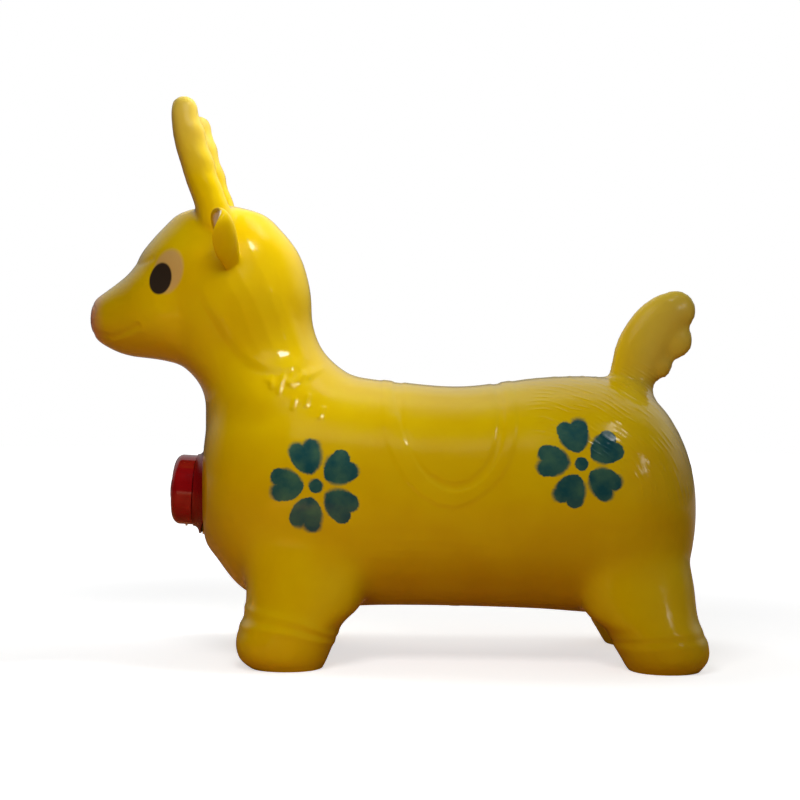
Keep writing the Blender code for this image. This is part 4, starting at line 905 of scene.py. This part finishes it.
# Paint. A flower: its middle, its size and its turn; then its dot and the rounds that bound half a petal
NOSE = (-0.296, 0.0, 0.314)
FLOWERS = (((-0.0674, 0.1635), (1.00, 1.05), math.radians(35.9)),
           ((0.1664, 0.1852), (0.98, 0.98), math.radians(31.5)))
FLOWER_DOT = 0.0060
PETAL_SIDE = (0.0284, -0.0050, 0.0188)
PETAL_LOBE = (0.0316, 0.0062, 0.0080)
PETAL_WAIST = 0.0316


def flower(tree, x, z, centre, size, turn, ragged, blur):
    """1 on the painted petals and the dot of a five-petal flower, with a soft sprayed edge."""
    place, reach = laid_out(tree, x, z, centre, size, turn)
    flat = add(tree, "SeparateXYZ", {0: place}).outputs
    angle = add(tree, "Math", {0: flat[1], 1: flat[0]}, operation="ARCTAN2").outputs[0]
    angle = add(tree, "Math", {0: angle, 1: math.pi / 5}, operation="PINGPONG").outputs[0]
    folded = []
    for way in ("COSINE", "SINE"):
        share = add(tree, "Math", {0: angle}, operation=way).outputs[0]
        folded.append(add(tree, "Math", {0: share, 1: reach}, operation="MULTIPLY").outputs[0])
    along, folded = folded[0], add(tree, "CombineXYZ", {0: folded[0], 1: folded[1]}).outputs[0]

    # Half a petal: a round side up to the waist, then a round lobe; and the dot
    gaps = []
    for u, v, radius in (PETAL_SIDE, PETAL_LOBE):
        gap = add(tree, "VectorMath", {0: folded, 1: (u, v, 0.0)}, operation="DISTANCE").outputs["Value"]
        gaps.append(add(tree, "Math", {0: gap, 1: radius}, operation="SUBTRACT").outputs[0])
    waist = add(tree, "Math", {0: along, 1: PETAL_WAIST}, operation="SUBTRACT").outputs[0]
    dot = add(tree, "Math", {0: reach, 1: FLOWER_DOT}, operation="SUBTRACT").outputs[0]
    gap = add(tree, "Math", {0: gaps[0], 1: waist}, operation="MAXIMUM").outputs[0]
    for other in (gaps[1], dot):
        gap = add(tree, "Math", {0: gap, 1: other}, operation="MINIMUM").outputs[0]
    gap = add(tree, "Math", {0: gap, 1: ragged}, operation="ADD").outputs[0]
    start = add(tree, "Math", {0: blur, 1: -0.7}, operation="MULTIPLY").outputs[0]
    return add(tree, "MapRange", {0: gap, 1: start, 2: blur, 3: 1.0, 4: 0.0}, **SMOOTH).outputs[0]


def vinyl_skin():
    """Rotomoulded soft PVC: yellow all through and glossy as its mould, with sprayed-on paint."""
    made, tree, shader = surface("rotomoulded soft PVC skin", IOR=1.5)
    place = add(tree, "TexCoord").outputs["Object"]
    x, _, z = add(tree, "SeparateXYZ", {0: place}).outputs

    # The pigment is a little uneven over a hand's breadth
    patches = add(tree, "TexNoise", {"Vector": place, "Scale": 1 / 0.0455, "Detail": 3.0}).outputs["Fac"]
    patches = add(tree, "MapRange", {0: patches, 1: 0.35, 2: 0.65}).outputs[0]
    colour = add(tree, "Mix", {0: patches, 6: srgb("#E4C303"), 7: srgb("#DFBA02")},
                 data_type="RGBA").outputs[2]

    # The horns and the tail are made duller, and a pale painted sheen is mixed into their colour
    horns = add(tree, "MapRange", {0: z, 1: 0.440, 2: 0.520}).outputs[0]
    tail = add(tree, "MapRange", {0: x, 1: 0.205, 2: 0.240, 4: 0.6}).outputs[0]
    high = add(tree, "MapRange", {0: z, 1: 0.235, 2: 0.275}).outputs[0]
    tail = add(tree, "Math", {0: tail, 1: high}, operation="MULTIPLY").outputs[0]
    dull_and_painted_sheen = add(tree, "Math", {0: horns, 1: tail}, operation="MAXIMUM").outputs[0]
    dull = add(tree, "MapRange", {0: dull_and_painted_sheen, 3: 0.13, 4: 0.26}).outputs[0]
    tree.links.new(dull, shader.inputs["Roughness"])
    # A fifth of that share is the pale painted sheen on the horns and tail
    dull_and_painted_sheen = add(tree, "Math", {0: dull_and_painted_sheen, 1: 0.2}, operation="MULTIPLY").outputs[0]

    # Pale paint inside the ears, and blush sprayed on the nose
    lining = add(tree, "Attribute", attribute_name="ear_lining").outputs["Fac"]
    lining = add(tree, "Math", {0: lining, 1: 0.9}, operation="MULTIPLY").outputs[0]
    blush = add(tree, "VectorMath", {0: place, 1: NOSE}, operation="DISTANCE").outputs["Value"]
    blush = add(tree, "MapRange", {0: blush, 1: 0.014, 2: 0.044, 3: 1.0, 4: 0.0}, **SMOOTH).outputs[0]

    # Eyes: a pale oval under a dark one
    white = oval(tree, x, z, (-0.2070, 0.3560), (0.0140, 0.0205), math.radians(-14), 0.14)
    pupil = oval(tree, x, z, (-0.2141, 0.3494), (0.0105, 0.0148), math.radians(-10), 0.08)

    # Teal flowers sprayed through a stencil: crisp here, drifting there
    ragged = add(tree, "TexNoise", {"Vector": place, "Scale": 1 / 0.00222, "Detail": 5.0}).outputs["Fac"]
    ragged = add(tree, "MapRange", {0: ragged, 1: 0.3, 2: 0.7, 3: -0.0005, 4: 0.0005}).outputs[0]
    drift = add(tree, "TexNoise", {"Vector": place, "Scale": 1 / 0.0222, "Detail": 1.0}).outputs["Fac"]
    drift = add(tree, "MapRange", {0: drift, 1: 0.42, 2: 0.62, 3: 0.0008, 4: 0.0034}).outputs[0]
    petals = [flower(tree, x, z, *row, ragged, drift) for row in FLOWERS]
    petals = add(tree, "Math", {0: petals[0], 1: petals[1]}, operation="MAXIMUM").outputs[0]
    thin = add(tree, "TexNoise", {"Vector": place, "Scale": 1 / 0.0167, "Detail": 5.0}).outputs["Fac"]
    thin = add(tree, "MapRange", {0: thin, 1: 0.35, 2: 0.7}).outputs[0]
    paint = add(tree, "Mix", {0: thin, 6: srgb("#1A4F57"), 7: srgb("#45705A")}, data_type="RGBA").outputs[2]

    # Over the yellow: first the pale painted sheen on the horns and tail, then the ear paint, blush, eyes
    # and flowers
    for share, over in ((dull_and_painted_sheen, srgb("#F1EDB0")), (lining, srgb("#FFF4DC")), (blush, srgb("#F29C82")),
                        (white, srgb("#D2AC62")), (pupil, srgb("#332A22")), (petals, paint)):
        colour = add(tree, "Mix", {0: share, 6: colour, 7: over}, data_type="RGBA").outputs[2]
    tree.links.new(colour, shader.inputs["Base Color"])

    # Gentle ripples of a thin blown skin
    ripple = add(tree, "TexNoise", {"Vector": place, "Scale": 1 / 0.0111, "Detail": 2.0}).outputs["Fac"]
    bump = add(tree, "Bump", {"Strength": 1.0, "Distance": 0.0002, "Height": ripple})
    tree.links.new(bump.outputs[0], shader.inputs["Normal"])
    return made


def grained(name, colour, grain, depth, spread, **values):
    """A finish whose gloss and surface vary in grains of one size, given in metres."""
    made, tree, shader = surface(name, Base_Color=srgb(colour), **values)
    place = add(tree, "TexCoord").outputs["Object"]
    grains = add(tree, "TexNoise", {"Vector": place, "Scale": 1 / grain, "Detail": 3.0}).outputs["Fac"]
    rough = values["Roughness"]
    rough = add(tree, "MapRange", {0: grains, 1: 0.3, 2: 0.7, 3: rough * (1 - spread),
                                   4: rough * (1 + spread)}).outputs[0]
    tree.links.new(rough, shader.inputs["Roughness"])
    bump = add(tree, "Bump", {"Strength": 1.0, "Distance": depth, "Height": grains})
    tree.links.new(bump.outputs[0], shader.inputs["Normal"])
    return made, tree, shader, place, bump


def tinted(tree, shader, share, low, high, colour, other):
    """The base colour goes from one to the other as a share rises."""
    share = add(tree, "MapRange", {0: share, 1: low, 2: high}).outputs[0]
    mix = add(tree, "Mix", {0: share, 6: srgb(colour), 7: srgb(other)}, data_type="RGBA")
    tree.links.new(mix.outputs[2], shader.inputs["Base Color"])


def patterned(finish, kind, cell, low, high, colour, other, detail=0.0, **settings):
    """A grained finish tinted by a pattern whose cells have the given size in metres."""
    made, tree, shader, place, _ = finish
    cells = add(tree, "Mapping", {0: place, 3: [1 / size for size in cell]}).outputs[0]
    cells = add(tree, kind, {"Vector": cells, "Scale": 1.0, "Detail": detail}, **settings).outputs[0]
    tinted(tree, shader, cells, low, high, colour, other)
    return made


# ABS, injection moulded in a spark-eroded tool: an even, fine satin grain, the colour solid all through
red_abs = grained("moulded red ABS", "#7E0C0F", 0.0004, 0.00002, 0.25, Roughness=0.26)[0]
white_abs = grained("moulded white ABS", "#E9E6DD", 0.0004, 0.00002, 0.2, Roughness=0.35)[0]

# Clear red polystyrene, injection moulded and polished: glassy, with slow waves where the melt flowed
clear_red = patterned(grained("moulded clear red polystyrene", "#B0141A", 0.006, 0.00006, 0.2,
                              Roughness=0.10, IOR=1.59, Transmission_Weight=0.25),
                      "TexNoise", (0.025,) * 3, 0.35, 0.65, "#A61016", "#C01B20", detail=2.0)

# Glass-filled nylon, moulded: matt black with short pale fibres showing in its face
nylon = patterned(grained("glass filled black nylon", "#1E1E20", 0.0003, 0.00003, 0.2, Roughness=0.5),
                  "TexNoise", (0.0001, 0.0012, 0.0001), 0.55, 0.75, "#1B1B1D", "#3A3A3C", detail=1.0)

# Epoxy resin, poured over the chip and set: black and glossy with slow dimples
resin = grained("poured black epoxy resin", "#121214", 0.0015, 0.00008, 0.3, Roughness=0.18)[0]

# EVA foam, die cut from a sheet: matt, with the open halves of small bubbles in its face, painted darker in
# their hollows as painted shade
foam, tree, shader, place, bump = grained("cut EVA foam", "#26262A", 0.0006, 0.00005, 0.1, Roughness=0.9)
bubbles = add(tree, "TexVoronoi", {"Vector": place, "Scale": 1 / 0.0007}).outputs["Distance"]
bump = add(tree, "Bump", {"Strength": 1.0, "Distance": 0.0002, "Height": bubbles, "Normal": bump.outputs[0]})
tree.links.new(bump.outputs[0], shader.inputs["Normal"])
# Painted shade: the colour is darker towards the bottom of each bubble's hollow
tinted(tree, shader, bubbles, 0.1, 0.6, "#151518", "#303035")

# Zinc-plated steel: bluish, with pale and dark patches of the passivation over fine drawing marks
steel = patterned(grained("zinc plated steel", "#B9BCC0", 0.0005, 0.00001, 0.3, Roughness=0.3, Metallic=1.0),
                  "TexNoise", (0.004,) * 3, 0.35, 0.65, "#A9AFB8", "#C6C4BE", detail=3.0)

# Nickel-plated spring steel, rolled thin: brighter and warmer, with fine lines along the strip
nickel = patterned(grained("nickel plated spring steel", "#CFCABF", 0.0008, 0.00001, 0.3, Roughness=0.2,
                           Metallic=1.0),
                   "TexNoise", (0.0001, 0.0001, 0.004), 0.3, 0.7, "#C2BDB2", "#DAD6CC", detail=2.0)

# Ferrite, pressed from powder and sintered: dark grey and matt, with tiny chips and pores
ferrite = patterned(grained("sintered ferrite", "#3A3B3E", 0.0003, 0.00006, 0.15, Roughness=0.65),
                    "TexVoronoi", (0.0009,) * 3, 0.05, 0.35, "#1F2023", "#404145")

# Paper pulp, felted on a former and dyed black: matt and fibrous
cone_paper = patterned(grained("felted black paper pulp", "#2B2A29", 0.0008, 0.00010, 0.05, Roughness=0.9),
                       "TexNoise", (0.0020, 0.0002, 0.0006), 0.35, 0.65, "#232221", "#3B3937", detail=4.0)

# Glass-cloth epoxy board under green lacquer: the weave shows faintly, the copper a shade lighter
board = patterned(grained("lacquered glass epoxy board", "#1F6B3A", 0.0008, 0.00002, 0.15, Roughness=0.35),
                  "TexVoronoi", (0.0045,) * 3, 0.40, 0.46, "#1C6336", "#37935A", distance="CHEBYCHEV")

# Steel can in a shrunk plastic sleeve: metallic gold ink, black towards the flat end
jacket, tree, shader, place, _ = grained("printed sleeve of a cell", "#C8A227", 0.0020, 0.00003, 0.2,
                                         Roughness=0.25, Metallic=0.6)
along = add(tree, "SeparateXYZ", {0: place}).outputs["Y"]
tinted(tree, shader, along, 0.0055, 0.0058, "#1D1C1B", "#C8A227")

# Epoxy lamp resin, cast clear: like glass, a touch milky
lens = grained("cast clear lamp resin", "#F1F3F2", 0.0030, 0.00001, 0.2, Roughness=0.08,
               Transmission_Weight=0.85)[0]

# Plasticised PVC, injection moulded: soft white, a little waxy, light spreading under its face
soft_white = grained("moulded soft white PVC", "#EDEBE4", 0.0010, 0.00004, 0.2, Roughness=0.35,
                     Subsurface_Weight=0.3, Subsurface_Scale=0.002)[0]

FINISHES = {
    "module_housing": red_abs, "battery_door": red_abs, "play_button": red_abs, "module_cover": clear_red,
    "power_slider": white_abs, "power_switch": nylon, "play_switch": nylon, "sound_chip": resin,
    "seal_ring": foam, "door_screw": steel, "contact_bridge": nickel, "contact_plus": nickel,
    "contact_minus": nickel, "speaker_basket": steel, "motion_switch": nickel, "button_spring": nickel,
    "speaker_magnet": ferrite, "speaker_cone": cone_paper, "circuit_board": board,
    "battery_upper": jacket, "battery_lower": jacket, "valve_insert": soft_white, "air_plug": soft_white,
}
for name, node in NODES.items():
    finish = lens if name.startswith("led_") else steel if "_screw_" in name else FINISHES.get(name)
    if finish:
        node.data.materials.clear()
        node.data.materials.append(finish)

low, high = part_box("valve_insert")
valve_top = Vector(((low.x + high.x) / 2, 0.0, high.z - VALVE_TUBE_LENGTH))
plug_top = Vector((valve_top.x, 0.0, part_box("air_plug")[1].z - PLUG_LENGTH))
SKIN = vinyl_skin()
PIECES = (
    ("goat_skin", "body_skin", goat_skin(), "body", "skin"),
    ("chest_seal", "seal_ring", placed(seal_form(), MODULE_FRAME), "module", "foam"),
    ("sound_housing", "module_housing", placed(housing_form(), MODULE_FRAME), "module", "red_plastic"),
    ("sound_cap", "module_cover", placed(cover_form(), MODULE_FRAME), "module", "clear_red"),
    ("push_button", "play_button", placed(button_form(), MODULE_FRAME), "button", "red_plastic"),
    ("belly_valve", "valve_insert", placed(valve_form(), Matrix.Translation(valve_top)), "body", "valve"),
    ("belly_plug", "air_plug", placed(plug_form(), Matrix.Translation(plug_top)), "plug", "valve"),
)
for name, node, form, body, slot in PIECES:
    finish = SKIN if slot == "skin" else FINISHES[node]
    piece = finished(name, form, finish, body)
    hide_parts(node)


# ---- studio ----

CAMERA_PLACE = Vector((0.0062, -1.45, 0.24))
CAMERA_ROLL = 0.0087
LENS = 68.7

camera = bpy.data.objects.new("camera", bpy.data.cameras.new("camera"))
camera.data.lens = LENS
camera.matrix_world = (Matrix.Translation(CAMERA_PLACE) @ Matrix.Rotation(math.pi / 2, 4, "X")
                       @ Matrix.Rotation(CAMERA_ROLL, 4, "Z"))
bpy.context.scene.collection.objects.link(camera)
bpy.context.scene.camera = camera
bpy.context.scene.view_settings.view_transform = "Standard"


def lamp(name, place, aim, width, height, power, colour="#FFFFFF", diffuse=True, glossy=False,
         spread=180):
    """A lamp that lights the object, shows in its gloss, or does both."""
    data = bpy.data.lights.new(name, "AREA")
    data.shape = "RECTANGLE"
    data.size = width
    data.size_y = height
    data.energy = power
    data.spread = math.radians(spread)
    data.color = srgb(colour)[:3]
    obj = bpy.data.objects.new(name, data)
    towards = Vector(aim) - Vector(place)
    obj.matrix_world = Matrix.Translation(place) @ towards.to_track_quat("-Z", "Y").to_matrix().to_4x4()
    obj.visible_diffuse = diffuse
    obj.visible_glossy = glossy
    bpy.context.scene.collection.objects.link(obj)


lamp("key", (-0.07, -0.52, 0.70), (-0.02, 0.0, 0.2), 0.34, 0.26, 1.78)
lamp("top", (-0.03, 0.10, 0.85), (-0.06, 0.0, 0.3), 0.3, 0.2, 1.0)
lamp("crown", (0.12, 0.0, 0.82), (-0.13, -0.02, 0.42), 0.2, 0.15, 0.28, spread=55)
lamp("low", (-0.32, -0.80, 0.04), (-0.10, -0.1, 0.02), 0.4, 0.1, 1.2, "#FFE2BC")
lamp("window", (0.50, -0.70, 1.25), (-0.10, -0.05, 0.28), 0.14, 0.22, 0.088, diffuse=False, glossy=True,
     spread=40)
lamp("doorway", (0.95, -0.85, 0.66), (0.2, -0.06, 0.22), 0.12, 0.24, 0.011, diffuse=False, glossy=True,
     spread=26)

PALE = (1.0, 1.0, 1.0, 1.0)


def seen_as_background(tree, behind):
    """1 for the camera, for what glass shows, and for what gloss shows of the backdrop behind; else 0."""
    path = add(tree, "LightPath").outputs
    gloss = add(tree, "Math", {0: path["Is Glossy Ray"], 1: behind}, operation="MULTIPLY").outputs[0]
    seen = add(tree, "Math", {0: path["Is Camera Ray"], 1: gloss}, operation="ADD").outputs[0]
    return add(tree, "Math", {0: seen, 1: path["Is Transmission Ray"]}, operation="ADD",
               use_clamp=True).outputs[0]


# A dark room that is lighter on the tail's side, with a white backdrop
world = bpy.data.worlds.new("studio")
bpy.context.scene.world = world
world.use_nodes = True
tree = world.node_tree
direction = add(tree, "SeparateXYZ", {0: add(tree, "TexCoord").outputs["Generated"]}).outputs
room = tree.nodes["Background"]
side = add(tree, "MapRange", {0: direction[0], 1: -0.3, 2: 0.6}, **SMOOTH).outputs[0]
side = add(tree, "Mix", {0: side, 6: (0.01, 0.01, 0.01, 1.0), 7: (0.30, 0.31, 0.32, 1.0)},
           data_type="RGBA").outputs[2]
fill = add(tree, "MapRange", {0: direction[1], 1: -0.1, 2: 0.8, 4: 0.42}, **SMOOTH)
side = add(tree, "Mix", {0: 1.0, 6: side, 7: fill.outputs[0]}, data_type="RGBA", blend_type="ADD").outputs[2]
path = add(tree, "LightPath").outputs
tree.links.new(side, room.inputs["Color"])
dim = add(tree, "Math", {0: path["Is Glossy Ray"], 1: -0.95, 2: 1.0}, operation="MULTIPLY_ADD").outputs[0]
tree.links.new(dim, room.inputs["Strength"])
white = add(tree, "Background", {"Color": PALE, "Strength": 1.0})
behind = add(tree, "MapRange", {0: direction[1], 1: -0.12, 2: 0.5}, **SMOOTH).outputs[0]
above = add(tree, "MapRange", {0: direction[2], 1: 0.0, 2: 0.5, 3: 0.04, 4: 0.66}, **SMOOTH).outputs[0]
behind = add(tree, "Math", {0: behind, 1: above}, operation="MULTIPLY").outputs[0]
mix = add(tree, "MixShader", {0: seen_as_background(tree, behind), 1: room.outputs[0], 2: white.outputs[0]})
tree.links.new(mix.outputs[0], tree.nodes["World Output"].inputs["Surface"])

form = bmesh.new()
bmesh.ops.create_circle(form, cap_ends=True, segments=64, radius=6.0)
mesh = bpy.data.meshes.new("floor")
form.to_mesh(mesh)
form.free()
floor = bpy.data.objects.new("floor", mesh)
bpy.context.scene.collection.objects.link(floor)
made, tree, shader = surface("pale studio floor", Base_Color=(0.9, 0.9, 0.9, 1.0), Roughness=0.9)
shader.inputs["Specular IOR Level"].default_value = 0.0
place = add(tree, "TexCoord").outputs["Object"]
across = add(tree, "SeparateXYZ", {0: place}).outputs[1]
reach = add(tree, "VectorMath", {0: place}, operation="LENGTH").outputs["Value"]
brown = add(tree, "BsdfDiffuse", {"Color": srgb("#B87A46")})
share = add(tree, "MapRange", {0: reach, 1: 0.45, 2: 1.1, 3: 0.62, 4: 1.0},
            **SMOOTH).outputs[0]
glow = add(tree, "Emission", {"Color": PALE, "Strength": share})
pale = add(tree, "AddShader", {0: shader.outputs[0], 1: glow.outputs[0]})
behind = add(tree, "MapRange", {0: across, 1: 0.0, 2: 1.5, 4: 0.12}, **SMOOTH)
mix = add(tree, "MixShader", {0: seen_as_background(tree, behind.outputs[0]),
                                        1: brown.outputs[0], 2: pale.outputs[0]})
tree.links.new(mix.outputs[0], tree.nodes["Material Output"].inputs["Surface"])
mesh.materials.append(made)
floor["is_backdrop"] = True

[[list(corner) for corner in box] for box in (CAD_BOX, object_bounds())]
